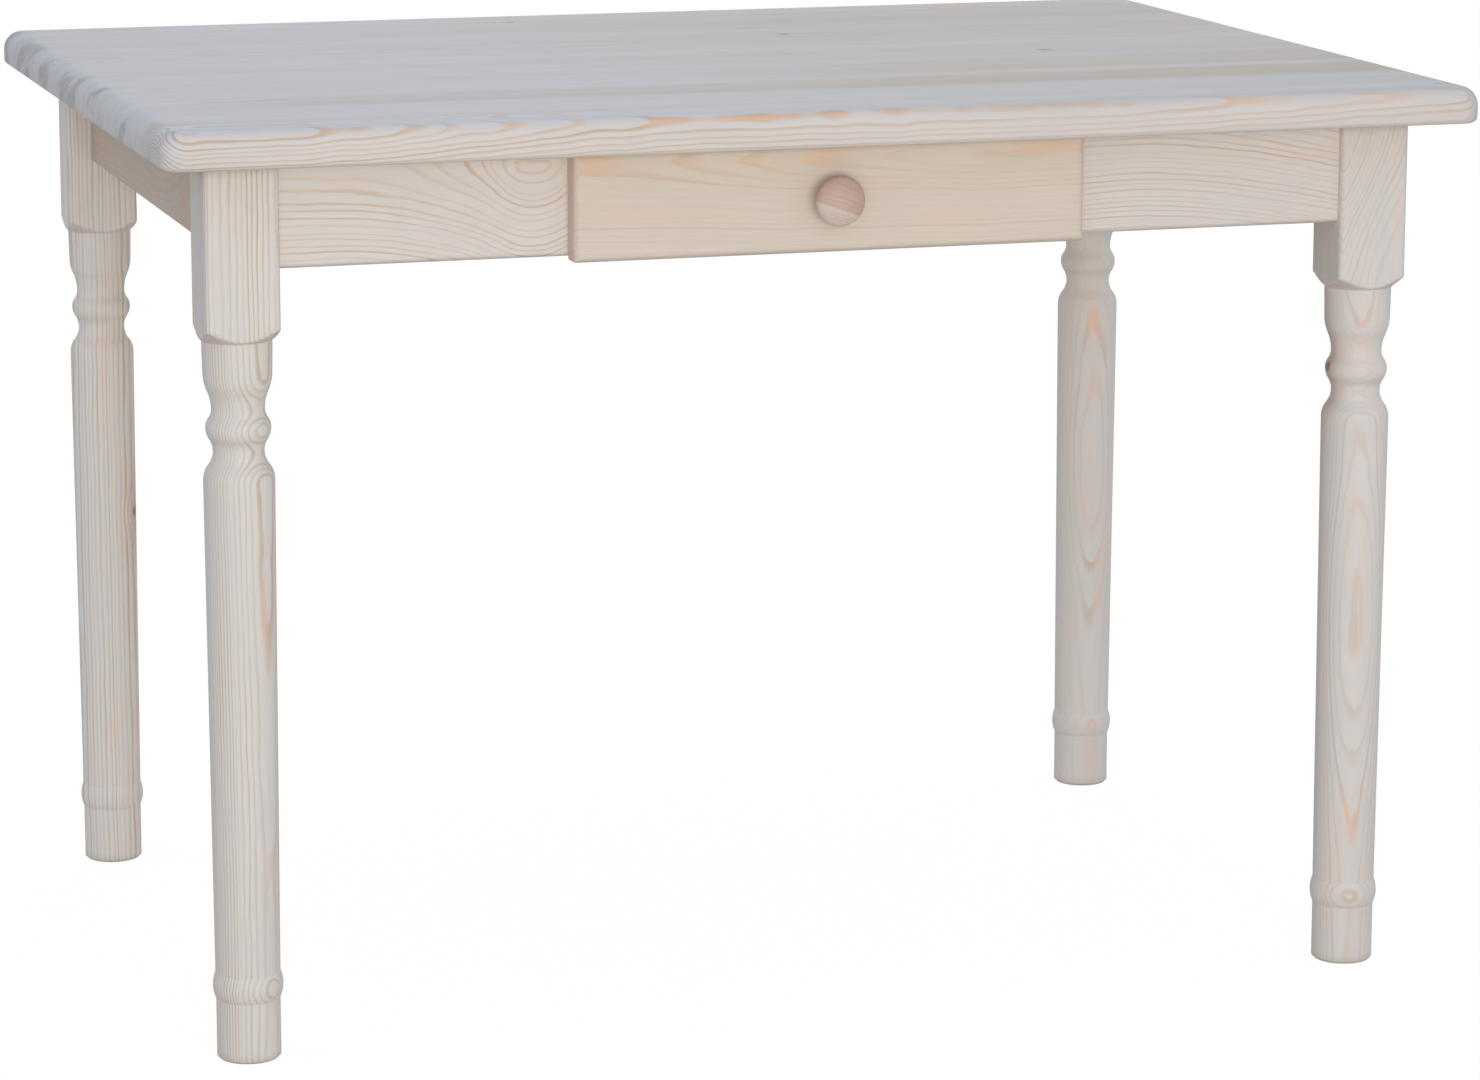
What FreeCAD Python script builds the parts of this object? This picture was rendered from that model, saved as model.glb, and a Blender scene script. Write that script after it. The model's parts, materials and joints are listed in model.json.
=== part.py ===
import FreeCAD, Part
import math
import operator
import os

import Sketcher
from FreeCAD import Placement, Rotation, Vector

# Pine table with turned legs and one drawer. Millimetres, +Z up, the long side along X, the
# drawer to the front (-Y). The origin is on the floor under the middle of the top.

SIZES = (
    ("top_length", 1100, "table top, long side"),
    ("top_depth", 800, "table top, short side"),
    ("top_thickness", 30, "table top"),
    ("top_corner", 20, "radius of the top's corners in plan"),
    ("top_round", 16, "round-over of the top's upper edge"),
    ("top_ease", 5, "rounding of the top's lower edge"),
    ("table_height", 760, "floor to the top's upper face"),
    ("end_overhang", 41.5, "top beyond the legs at the ends"),
    ("side_overhang", 57, "top beyond the legs at the front and back"),
    ("leg_block", 60, "side of the leg's square block"),
    ("leg_arris", 5, "rounding of the block's upright edges"),
    ("leg_head", 144.5, "top of the leg to the foot of the shoulder"),
    ("shoulder_slope", 0.83, "rise of the shoulder per unit outwards"),
    ("vase_top_radius", 28, "vase under the shoulder"),
    ("vase_length", 25.5, "nearly straight part of the vase"),
    ("vase_radius", 27.5, "vase where it starts to draw in"),
    ("vase_draw", 29.5, "vase down to the upper neck"),
    ("upper_neck_radius", 21.2, "narrowest point above the bead"),
    ("bead_upper", 14.7, "upper neck down to the bead's crest"),
    ("bead_radius", 26, "crest of the bead"),
    ("bead_lower", 18.8, "bead's crest down to the lower neck"),
    ("lower_neck_radius", 20.4, "narrowest point below the bead"),
    ("column_draw", 23, "lower neck down to the column's full width"),
    ("column_top_radius", 28.4, "column, upper end"),
    ("column_foot_radius", 26.1, "column, lower end"),
    ("ankle_height", 60.5, "floor to the ankle bead's crest"),
    ("ankle_radius", 28.3, "crest of the ankle bead"),
    ("ankle_half", 11, "half the length of the ankle bead"),
    ("foot_radius", 25.8, "foot below the ankle bead"),
    ("foot_chamfer", 2, "chamfer round the sole"),
    ("apron_thickness", 20, "all four apron boards"),
    ("long_apron_height", 87, "front and back apron boards"),
    ("end_apron_height", 80, "left and right apron boards"),
    ("apron_ease", 5, "rounding of the aprons' lower outer edge"),
    ("front_setback", 8, "front apron behind the legs' faces"),
    ("back_setback", 20, "back apron behind the legs' faces"),
    ("end_setback", 20, "end aprons behind the legs' faces"),
    ("opening_width", 392, "drawer opening in the front apron"),
    ("opening_sill", 17, "front apron left under the opening"),
    ("block_thickness", 25, "corner block, across the corner"),
    ("block_height", 60, "corner block"),
    ("block_seat", 12, "wood under the heads of the block's screws"),
    ("block_screw_pitch", 30, "between the two screws of each end"),
    ("block_screw_length", 28, "corner block screw"),
    ("bolt_radius", 4, "hanger bolt"),
    ("bolt_start", 8, "leg's axis to the bolt's inner end"),
    ("bolt_end", 5, "bolt beyond its nut"),
    ("washer_radius", 10, "washer on the hanger bolt"),
    ("washer_thickness", 1.6, "washer on the hanger bolt"),
    ("nut_radius", 7.5, "nut, over its corners"),
    ("nut_thickness", 6.5, "nut on the hanger bolt"),
    ("screw_radius", 2, "shank of a wood screw"),
    ("screw_head_radius", 4, "countersunk head"),
    ("screw_head_height", 2.4, "countersunk head"),
    ("screw_tip", 5, "length of a screw's point"),
    ("screw_tip_radius", 0.5, "end of a screw's point"),
    ("screw_length", 35, "cleat, runner and stop screws"),
    ("top_screw_length", 50, "screws from the blocks into the top"),
    ("top_screw_recess", 28, "their heads above the block's underside"),
    ("top_screw_offset", 14, "they stand beside the block's middle"),
    ("cleat_section", 20, "side of the square cleats"),
    ("cleat_length", 300, "cleats under the ends of the top"),
    ("cleat_screw_pitch", 240, "between a cleat's screws into the apron"),
    ("cleat_top_pitch", 120, "between a cleat's screws into the top"),
    ("guide_thickness", 30, "drawer guide"),
    ("runner_thickness", 17, "drawer runner"),
    ("runner_lift", 1, "runners above the sill of the opening"),
    ("runner_screw_pitch", 220, "between the screws of a runner"),
    ("dowel_radius", 4, "runner and guide dowels"),
    ("dowel_length", 35, "runner and guide dowels"),
    ("dowel_depth", 12, "dowel in the apron"),
    ("stop_length", 60, "stop block"),
    ("stop_width", 20, "stop block"),
    ("stop_thickness", 12, "stop block"),
    ("stop_setback", 2, "stop block behind the front apron"),
    ("front_width", 430, "drawer front"),
    ("front_height", 88, "drawer front"),
    ("front_thickness", 20, "drawer front"),
    ("front_round", 6, "rounding round the drawer front's face"),
    ("front_top_gap", 2, "drawer front below the top"),
    ("closed_gap", 0.5, "drawer front off the apron when shut"),
    ("drawer_length", 400, "drawer sides"),
    ("drawer_height", 62, "drawer sides"),
    ("drawer_board", 12, "drawer sides and back"),
    ("drawer_gap", 2, "drawer sides off the guides"),
    ("running_gap", 0.3, "drawer sides off the runners"),
    ("bottom_thickness", 4, "drawer bottom"),
    ("bottom_rise", 8, "wood below the drawer bottom's groove"),
    ("groove_depth", 6, "groove for the drawer bottom"),
    ("groove_play", 0.2, "groove higher than the bottom is thick"),
    ("groove_end_play", 0.5, "bottom short of the groove's end"),
    ("front_dowel_radius", 3, "dowels of the drawer front"),
    ("front_dowel_length", 30, "dowels of the drawer front"),
    ("front_dowel_depth", 10, "dowel in the drawer front"),
    ("front_dowel_rise", 20, "lower dowel above the side's edge"),
    ("front_dowel_pitch", 30, "between the two dowels of a side"),
    ("back_screw_radius", 1.75, "screws of the drawer back"),
    ("back_screw_length", 30, "screws of the drawer back"),
    ("back_screw_pitch", 26, "between the two screws of a side"),
    ("pin_radius", 1, "pins of the drawer bottom"),
    ("pin_length", 16, "pins of the drawer bottom"),
    ("pin_pitch", 120, "between the pins"),
    ("knob_radius", 20.5, "widest part of the knob"),
    ("knob_length", 28, "knob off the drawer front"),
    ("knob_rim_height", 16.5, "widest part off the drawer front"),
    ("knob_rim", 7, "rounding of the knob's face"),
    ("knob_under", 2.5, "rounding behind the widest part"),
    ("knob_neck_radius", 8.5, "neck of the knob"),
    ("knob_neck_height", 4, "neck off the drawer front"),
    ("knob_foot_radius", 10, "knob where it meets the drawer front"),
    ("knob_screw_radius", 2, "screw that holds the knob"),
    ("knob_screw_grip", 15, "screw inside the knob"),
    ("knob_screw_head_radius", 4, "its head, inside the drawer"),
    ("knob_screw_head_height", 2.5, "its head, inside the drawer"),
    ("fit", 0.05, "play of screws, bolts and dowels in their holes"),
    ("bore_end", 0.5, "blind holes deeper than what fills them"),
)

ROOT_TWO = math.sqrt(2)
UP = Vector(0, 0, 1)
FRONT = Vector(0, -1, 0)
BACK = Vector(0, 1, 0)

# Which way an arc bulges, seen along its path.
LEFT, RIGHT = 1, -1
TOLERANCE = 1e-4
FULL_TURN = 360
EIGHTH_TURN = 45
NUT_SIDES = 6

# Numbers that a sketch gives to the ends of a side, to its origin and to its two axes.
START, END = 1, 2
ORIGIN, ACROSS_AXIS, UP_AXIS = -1, -1, -2

# Corners of the frame: name, side along X, side along Y.
CORNERS = (
    ("front_left", -1, -1),
    ("front_right", 1, -1),
    ("back_right", 1, 1),
    ("back_left", -1, 1),
)
SIDES = (("left", -1), ("right", 1))


class Length:
    """A number together with the sheet expression that works it out."""

    def __init__(self, value, text):
        self.value = value
        self.text = text

    def __add__(self, other):
        return combine(self, "+", other)

    def __radd__(self, other):
        return combine(other, "+", self)

    def __sub__(self, other):
        return combine(self, "-", other)

    def __rsub__(self, other):
        return combine(other, "-", self)

    def __mul__(self, other):
        return combine(self, "*", other)

    def __rmul__(self, other):
        return combine(other, "*", self)

    def __truediv__(self, other):
        return combine(self, "/", other)


ARITHMETIC = {"+": operator.add, "-": operator.sub, "*": operator.mul, "/": operator.truediv}


def as_length(number):
    """A plain number as a Length, and a Length as itself."""
    if isinstance(number, Length):
        return number
    return Length(number, "(%.9f)" % number if number < 0 else "%.9f" % number)


def combine(left, sign, right):
    left = as_length(left)
    right = as_length(right)
    value = ARITHMETIC[sign](left.value, right.value)
    return Length(value, "(%s %s %s)" % (left.text, sign, right.text))


class Sizes:
    """The driving dimensions, read from the sheet's cells by their aliases."""

    def __init__(self, document):
        self.sheet = document.addObject("Spreadsheet::Sheet", "Sizes")
        for row, (alias, value, note) in enumerate(SIZES, 1):
            self.sheet.set("A%d" % row, alias)
            self.sheet.set("B%d" % row, str(value))
            self.sheet.setAlias("B%d" % row, alias)
            self.sheet.set("C%d" % row, note)
        document.recompute()

    def __getattr__(self, alias):
        return Length(float(self.sheet.get(alias)), "Sizes." + alias)


class Frame:
    """Places that several pieces share, worked out from the driving dimensions."""

    def __init__(self, size):
        self.leg_x = size.top_length / 2 - size.end_overhang - size.leg_block / 2
        self.leg_y = size.top_depth / 2 - size.side_overhang - size.leg_block / 2
        self.underside = size.table_height - size.top_thickness
        half_block = size.leg_block / 2
        self.front_face = -1 * (self.leg_y + half_block - size.front_setback)
        self.front_inside = self.front_face + size.apron_thickness
        self.back_face = self.leg_y + half_block - size.back_setback
        self.back_inside = self.back_face - size.apron_thickness
        self.end_face = self.leg_x + half_block - size.end_setback
        self.end_inside = self.end_face - size.apron_thickness
        self.apron_bottom = self.underside - size.long_apron_height
        self.runner_top = self.apron_bottom + size.opening_sill + size.runner_lift
        self.drawer_bottom = self.runner_top + size.running_gap
        self.drawer_half = size.opening_width / 2 - size.drawer_gap
        self.drawer_inside = self.drawer_half - size.drawer_board
        self.drawer_front_back = self.front_face - size.closed_gap
        self.drawer_end = self.drawer_front_back + size.drawer_length
        self.panel_bottom = self.drawer_bottom + size.bottom_rise
        self.panel_top = self.panel_bottom + size.bottom_thickness
        self.front_bottom = self.underside - size.front_top_gap - size.front_height
        self.knob_height = self.front_bottom + size.front_height / 2
        self.guide_middle = size.opening_width / 2 + size.guide_thickness / 2


class Joinery:
    """The document, its sizes and places, and the pieces that are ready to be written."""

    def __init__(self):
        self.document = FreeCAD.newDocument("TavernTable")
        self.size = Sizes(self.document)
        self.at = Frame(self.size)
        self.pieces = []

    def add(self, kind, name):
        return self.document.addObject(kind, name)

    def piece(self, label, item):
        """Names the object that holds one finished sub-part."""
        item.Label = label
        self.pieces.append(item)
        return item


def place(item, x, y, z, turn=Rotation()):
    """Puts an object's origin at x, y, z and binds each coordinate to the sheet."""
    spot = [as_length(number) for number in (x, y, z)]
    item.Placement = Placement(Vector(*[length.value for length in spot]), turn)
    for axis, length in zip("xyz", spot):
        item.setExpression("Placement.Base." + axis, length.text)


def bind(item, **lengths):
    """Sets properties of an object by expressions."""
    for name, length in lengths.items():
        item.setExpression(name, as_length(length).text)


# ---- sketches --------------------------------------------------------------------------------


def origin_plane(body, role):
    return next(item for item in body.Origin.OriginFeatures if item.Role == role)


def short_arc(start, end, radius, side):
    """The arc between two points that is less than a half circle and bulges to the given side.
    It is always drawn anticlockwise, so one that bulges to the left runs from end to start."""
    if side == LEFT:
        start, end = end, start
    chord = end - start
    across = Vector(-chord.y, chord.x, 0).normalize()
    reach = math.sqrt(max(radius**2 - chord.Length**2 / 4, 0))
    centre = (start + end) / 2 + across * reach
    first, last = [math.atan2(spot.y - centre.y, spot.x - centre.x) for spot in (start, end)]
    if last < first:
        last += 2 * math.pi
    return Part.ArcOfCircle(Part.Circle(centre, UP, radius), first, last)


def outline(body, role, name, path):
    """A closed sketch through the points of the path. Each point is (across, up, bend), and bend
    says how the side that ends there runs: None for straight, or (radius, side) for an arc."""
    sketch = body.newObject("Sketcher::SketchObject", name)
    sketch.AttachmentSupport = (origin_plane(body, role), "")
    sketch.MapMode = "FlatFace"
    points = [(as_length(across), as_length(up), bend) for across, up, bend in path]
    spots = [Vector(across.value, up.value, 0) for across, up, bend in points]
    ends = []
    for number, (across, up, bend) in enumerate(points):
        start, end = spots[number - 1], spots[number]
        if bend is None:
            side = sketch.addGeometry(Part.LineSegment(start, end))
            ends.append((side, START, END))
            continue
        radius, way = bend
        side = sketch.addGeometry(short_arc(start, end, radius.value, way))
        ends.append((side, END, START) if way == LEFT else (side, START, END))
        limit = sketch.addConstraint(Sketcher.Constraint("Radius", side, radius.value))
        sketch.setExpression("Constraints[%d]" % limit, radius.text)
    for number, (side, first, last) in enumerate(ends):
        follower, joined, _ = ends[(number + 1) % len(ends)]
        sketch.addConstraint(Sketcher.Constraint("Coincident", side, last, follower, joined))
        fix_point(sketch, side, last, points[number])
    return sketch


def fix_point(sketch, side, end, point):
    """Ties a sketch point's two coordinates to the sheet, or to an axis where one is nought."""
    for kind, axis, length in (("DistanceX", UP_AXIS, point[0]), ("DistanceY", ACROSS_AXIS, point[1])):
        if near(length.value, 0):
            sketch.addConstraint(Sketcher.Constraint("PointOnObject", side, end, axis))
            continue
        value = Sketcher.Constraint(kind, ORIGIN, START, side, end, length.value)
        limit = sketch.addConstraint(value)
        sketch.setExpression("Constraints[%d]" % limit, length.text)


def upright_radius(first, second):
    """Radius of an arc through two points (radius, height) that runs along the turning axis at
    one of them."""
    step = second[0] - first[0]
    rise = second[1] - first[1]
    if step.value < 0:
        step = -1 * step
    return (step * step + rise * rise) / (2 * step)


def sweep(start, end):
    """Two equal arcs that leave the lower start and reach the upper end along the turning axis,
    as path points."""
    middle = ((start[0] + end[0]) / 2, (start[1] + end[1]) / 2)
    radius = upright_radius(start, middle)
    side = LEFT if end[0].value > start[0].value else RIGHT
    return [(*middle, (radius, side)), (*end, (radius, -side))]


# ---- wood ------------------------------------------------------------------------------------


def padded(shop, name, path, role, height):
    """A body padded from an outline on one of its own planes, towards +X, +Y or +Z."""
    body = shop.add("PartDesign::Body", name)
    sketch = outline(body, role, name + "_outline", path)
    pad = body.newObject("PartDesign::Pad", name + "_pad")
    pad.Profile = sketch
    pad.Reversed = role == "XZ_Plane"
    bind(pad, Length=height)
    shop.document.recompute()
    return body


def board(shop, name, length, depth, height):
    """A squared board with its lower left front corner at its own origin."""
    path = [(0, 0, None), (length, 0, None), (length, depth, None), (0, depth, None)]
    return padded(shop, name, path, "XY_Plane", height)


def ease(shop, body, name, radius, chosen):
    """Rounds the edges of a body's last feature whose middle point is chosen."""
    base = body.Tip
    edges = []
    for number, edge in enumerate(base.Shape.Edges, 1):
        middle = edge.valueAt((edge.FirstParameter + edge.LastParameter) / 2)
        if chosen(middle):
            edges.append("Edge%d" % number)
    fillet = body.newObject("PartDesign::Fillet", name)
    fillet.Base = (base, edges)
    bind(fillet, Radius=radius)
    shop.document.recompute()
    return fillet


def near(value, target):
    return abs(value - target) < TOLERANCE


def drilled(shop, label, stock, *holes):
    """The stock with every hole taken out of it."""
    tools = shop.add("Part::Compound", label + "_tools")
    tools.Links = list(holes)
    cut = shop.add("Part::Cut", label + "_cut")
    cut.Base = stock
    cut.Tool = tools
    return shop.piece(label, cut)


# ---- fasteners -------------------------------------------------------------------------------


def primitive(shop, kind, name, start, **lengths):
    """A Part primitive that stands on its axis at height start."""
    item = shop.add(kind, name)
    bind(item, **lengths)
    place(item, 0, 0, start)
    return item


def screw(shop, name, radius, length, play=0, recess=0):
    """A countersunk screw that points up from the top of its head. With play it is the hole for
    that screw, and with a recess the hole also frees the way for its head."""
    size = shop.size
    shank = radius + play
    head = size.screw_head_radius + play
    end = length + (size.bore_end if play else 0)
    straight = end - size.screw_tip
    parts = [
        primitive(shop, "Part::Cone", name + "_head", 0, Radius1=head, Radius2=shank,
                  Height=size.screw_head_height),
        primitive(shop, "Part::Cylinder", name + "_shank", 0, Radius=shank, Height=straight),
        primitive(shop, "Part::Cone", name + "_tip", straight, Radius1=shank,
                  Radius2=size.screw_tip_radius, Height=size.screw_tip),
    ]
    if recess:
        parts.append(primitive(shop, "Part::Cylinder", name + "_recess", -1 * recess,
                               Radius=head, Height=recess))
    whole = shop.add("Part::MultiFuse", name)
    whole.Shapes = parts
    return whole


def rod(shop, name, radius, length, play=0):
    """A dowel, pin or bolt that stands on its end. With play it is the hole for it."""
    size = shop.size
    end = size.bore_end if play else 0
    return primitive(shop, "Part::Cylinder", name, -1 * as_length(end),
                     Radius=radius + play, Height=length + 2 * as_length(end))


def copies(shop, name, master, spots):
    """The master repeated at each (x, y, z, direction), as one group of separate solids."""
    links = []
    for number, (x, y, z, direction) in enumerate(spots, 1):
        link = shop.add("App::Link", "%s_%d" % (name, number))
        link.setLink(master)
        link.LinkTransform = True
        place(link, x, y, z, Rotation(UP, direction))
        links.append(link)
    group = shop.add("Part::Compound", name)
    group.Links = links
    return group


def fasteners(shop, label, master, hole, spots):
    """Makes the fasteners of one node and returns the holes that they need."""
    shop.piece(label, copies(shop, label, master, spots))
    return copies(shop, label + "_holes", hole, spots)


# ---- top -------------------------------------------------------------------------------------


def table_top(shop, *holes):
    """One glued panel: corners rounded in plan, upper edge rounded over, lower edge eased."""
    size, at = shop.size, shop.at
    body = board(shop, "top_panel", size.top_length, size.top_depth, size.top_thickness)
    thickness = size.top_thickness.value
    ease(shop, body, "top_corners", size.top_corner, lambda p: near(p.z, thickness / 2))
    ease(shop, body, "top_upper_edge", size.top_round, lambda p: near(p.z, thickness))
    ease(shop, body, "top_lower_edge", size.top_ease, lambda p: near(p.z, 0))
    place(body, size.top_length / -2, size.top_depth / -2, at.underside)
    drilled(shop, "table_top", body, *holes)


# ---- legs ------------------------------------------------------------------------------------


def turned_outline(shop):
    """Outline of the waste round the turned part of a leg, from the sole up to the shoulder."""
    size, at = shop.size, shop.at
    foot = size.foot_radius
    ankle_low = (foot, size.ankle_height - size.ankle_half)
    ankle = (size.ankle_radius, size.ankle_height)
    ankle_high = (size.column_foot_radius, size.ankle_height + size.ankle_half)
    vase_top = (size.vase_top_radius, at.underside - size.leg_head)
    vase = (size.vase_radius, vase_top[1] - size.vase_length)
    upper_neck = (size.upper_neck_radius, vase[1] - size.vase_draw)
    bead = (size.bead_radius, upper_neck[1] - size.bead_upper)
    lower_neck = (size.lower_neck_radius, bead[1] - size.bead_lower)
    column_top = (size.column_top_radius, lower_neck[1] - size.column_draw)
    clear = size.leg_block
    shoulder_top = vase_top[1] + (clear - size.vase_top_radius) * size.shoulder_slope
    return [
        (foot - size.foot_chamfer, 0, None),
        (foot, size.foot_chamfer, None),
        (*ankle_low, None),
        (*ankle, (upright_radius(ankle_low, ankle), RIGHT)),
        (*ankle_high, (upright_radius(ankle_high, ankle), RIGHT)),
        (*column_top, None),
        *sweep(column_top, lower_neck),
        *sweep(lower_neck, bead),
        *sweep(bead, upper_neck),
        *sweep(upper_neck, vase),
        (*vase_top, None),
        (clear, shoulder_top, None),
        (clear, 0, None),
    ]


def leg(shop, corner, side_x, side_y, bolt_holes):
    """A square blank with eased edges, turned below its block, and bored for its hanger bolt."""
    size, at = shop.size, shop.at
    name = "leg_blank_" + corner
    blank = board(shop, name, size.leg_block, size.leg_block, at.underside)
    half = size.leg_block / 2
    middle = at.underside.value / 2
    ease(shop, blank, name + "_arrises", size.leg_arris, lambda p: near(p.z, middle))
    place(blank, side_x * at.leg_x - half, side_y * at.leg_y - half, 0)
    turner = shop.add("PartDesign::Body", "leg_waste_" + corner)
    sketch = outline(turner, "XZ_Plane", "leg_outline_" + corner, turned_outline(shop))
    waste = turner.newObject("PartDesign::Revolution", "leg_turning_" + corner)
    waste.Profile = sketch
    waste.ReferenceAxis = (sketch, ["V_Axis"])
    waste.Angle = FULL_TURN
    place(turner, side_x * at.leg_x, side_y * at.leg_y, 0)
    turned = shop.add("Part::Cut", "leg_turned_" + corner)
    turned.Base = blank
    turned.Tool = turner
    drilled(shop, "leg_" + corner, turned, bolt_holes)


# ---- aprons ----------------------------------------------------------------------------------


def front_apron(shop, *holes):
    """A board with the drawer opening cut from its upper edge, a sill left below it."""
    size, at = shop.size, shop.at
    span = 2 * at.leg_x - size.leg_block
    left = (span - size.opening_width) / 2
    right = left + size.opening_width
    top = size.long_apron_height
    sill = size.opening_sill
    path = [
        (0, 0, None), (span, 0, None), (span, top, None), (right, top, None),
        (right, sill, None), (left, sill, None), (left, top, None), (0, top, None),
    ]
    body = padded(shop, "front_apron_board", path, "XZ_Plane", size.apron_thickness)
    ease(shop, body, "front_apron_ease", size.apron_ease, lambda p: near(p.y, 0) and near(p.z, 0))
    place(body, span / -2, at.front_face, at.apron_bottom)
    drilled(shop, "front_apron", body, *holes)


def back_apron(shop, *holes):
    size, at = shop.size, shop.at
    span = 2 * at.leg_x - size.leg_block
    body = board(shop, "back_apron_board", span, size.apron_thickness, size.long_apron_height)
    outer = size.apron_thickness.value
    ease(shop, body, "back_apron_ease", size.apron_ease,
         lambda p: near(p.y, outer) and near(p.z, 0))
    place(body, span / -2, at.back_inside, at.apron_bottom)
    drilled(shop, "back_apron", body, *holes)


def end_apron(shop, side, sign, *holes):
    size, at = shop.size, shop.at
    span = 2 * at.leg_y - size.leg_block
    name = side + "_apron_board"
    body = board(shop, name, size.apron_thickness, span, size.end_apron_height)
    outer = size.apron_thickness.value if sign > 0 else 0
    ease(shop, body, name + "_ease", size.apron_ease,
         lambda p: near(p.x, outer) and near(p.z, 0))
    left_face = at.end_inside if sign > 0 else -1 * at.end_face
    place(body, left_face, span / -2, at.underside - size.end_apron_height)
    drilled(shop, side + "_apron", body, *holes)


# ---- corner blocks ---------------------------------------------------------------------------


class Corner:
    """A corner between two aprons, seen from their meeting point: along is measured on the long
    apron and out on the end apron, both towards the middle of the table."""

    def __init__(self, shop, side_x, side_y):
        at = shop.at
        self.x = side_x * at.end_inside
        self.y = at.front_inside if side_y < 0 else at.back_inside
        self.leg = (side_x * at.leg_x, side_y * at.leg_y)
        self.inward = Vector(-side_x, -side_y, 0)
        diagonal = math.degrees(math.atan2(-side_y, -side_x))
        self.turn = Rotation(UP, diagonal - EIGHTH_TURN)

    def spot(self, along, out):
        """Plan coordinates of a point of the corner."""
        return self.x + self.inward.x * along, self.y + self.inward.y * out

    def direction(self, along, out):
        return Vector(self.inward.x * along, self.inward.y * out, 0)

    def beyond_leg(self, distance):
        """Plan coordinates of a point on the diagonal through the leg's axis."""
        step = distance / ROOT_TWO
        return self.leg[0] + self.inward.x * step, self.leg[1] + self.inward.y * step


def block_reach(shop, side_y):
    """Where the corner block starts and ends along the aprons. Its outer face lies on the line
    through the leg's unrounded inner edge."""
    size = shop.size
    setback = size.front_setback if side_y < 0 else size.back_setback
    start = 2 * (size.leg_block - size.apron_thickness) - setback - size.end_setback
    return start, start + size.block_thickness * ROOT_TWO


def corner_block(shop, name, corner, reach, *holes):
    """A bar across the corner, its ends mitred to lie on the two aprons."""
    size, at = shop.size, shop.at
    start, end = reach
    path = [(start, 0, None), (end, 0, None), (0, end, None), (0, start, None)]
    body = padded(shop, "block_" + name, path, "XY_Plane", size.block_height)
    place(body, corner.x, corner.y, at.underside - size.block_height, corner.turn)
    drilled(shop, "corner_block_" + name, body, *holes)


def block_screw_spots(shop, corner, reach):
    size, at = shop.size, shop.at
    middle = (reach[0] + reach[1]) / 2
    seat = size.block_seat
    spots = []
    for level in (-1, 1):
        height = at.underside - size.block_height / 2 + level * size.block_screw_pitch / 2
        spots.append((*corner.spot(middle, seat), height, corner.direction(0, -1)))
        spots.append((*corner.spot(seat, middle), height, corner.direction(-1, 0)))
    return spots


def top_screw_spot(shop, corner, reach):
    size, at = shop.size, shop.at
    middle = (reach[0] + reach[1]) / 4
    offset = size.top_screw_offset
    height = at.underside - size.block_height + size.top_screw_recess
    return (*corner.spot(middle + offset, middle - offset), height, UP)


def ring(shop, name, kind, bore, **lengths):
    """A washer or a nut: a primitive of that kind with the bolt's hole through it."""
    disc = primitive(shop, kind, name + "_disc", 0, **lengths)
    if kind == "Part::Prism":
        disc.Polygon = NUT_SIDES
    hole = primitive(shop, "Part::Cylinder", name + "_bore", 0, Radius=bore,
                     Height=lengths["Height"])
    cut = shop.add("Part::Cut", name)
    cut.Base = disc
    cut.Tool = hole
    return cut


def corner_hardware(shop, corners, reaches):
    """Screws, hanger bolts, washers, nuts and top screws of the four corners. Returns the holes
    for the block screws, the bolts and the top screws."""
    size, at = shop.size, shop.at
    bolt_height = at.underside - size.block_height / 2
    block_spots, top_spots, bolt_spots, washer_spots, nut_spots = [], [], [], [], []
    for name, corner in corners.items():
        reach = reaches[name]
        block_spots += block_screw_spots(shop, corner, reach)
        top_spots.append(top_screw_spot(shop, corner, reach))
        face = (size.leg_block + size.block_thickness * ROOT_TWO) / ROOT_TWO
        for spots, distance in (
            (bolt_spots, size.bolt_start),
            (washer_spots, face),
            (nut_spots, face + size.washer_thickness),
        ):
            spots.append((*corner.beyond_leg(distance), bolt_height, corner.inward))
    bolt_length = face + size.washer_thickness + size.nut_thickness + size.bolt_end
    bolt_length = bolt_length - size.bolt_start
    fit = size.fit
    recess = size.block_thickness
    screw_holes = fasteners(
        shop, "corner_block_screws",
        screw(shop, "block_screw", size.screw_radius, size.block_screw_length),
        screw(shop, "block_screw_hole", size.screw_radius, size.block_screw_length, fit, recess),
        block_spots,
    )
    bolt_holes = fasteners(
        shop, "hanger_bolts",
        rod(shop, "hanger_bolt", size.bolt_radius, bolt_length),
        rod(shop, "hanger_bolt_hole", size.bolt_radius, bolt_length, fit),
        bolt_spots,
    )
    top_holes = fasteners(
        shop, "top_screws",
        screw(shop, "top_screw", size.screw_radius, size.top_screw_length),
        screw(shop, "top_screw_hole", size.screw_radius, size.top_screw_length, fit,
              size.top_screw_recess),
        top_spots,
    )
    washer = ring(shop, "washer", "Part::Cylinder", size.bolt_radius + fit,
                  Radius=size.washer_radius, Height=size.washer_thickness)
    shop.piece("hanger_washers", copies(shop, "hanger_washers", washer, washer_spots))
    nut = ring(shop, "nut", "Part::Prism", size.bolt_radius + fit,
               Circumradius=size.nut_radius, Height=size.nut_thickness)
    shop.piece("hanger_nuts", copies(shop, "hanger_nuts", nut, nut_spots))
    return screw_holes, bolt_holes, top_holes


# ---- cleats ----------------------------------------------------------------------------------


def cleat_screw_spots(shop, sign):
    """Two screws outwards into the end apron and two up into the top."""
    size, at = shop.size, shop.at
    section = size.cleat_section
    inner = sign * (at.end_inside - section)
    middle = sign * (at.end_inside - section / 2)
    spots = []
    for way in (-1, 1):
        spots.append((inner, way * size.cleat_screw_pitch / 2, at.underside - section / 2,
                      Vector(sign, 0, 0)))
        spots.append((middle, way * size.cleat_top_pitch / 2, at.underside - section, UP))
    return spots


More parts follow.
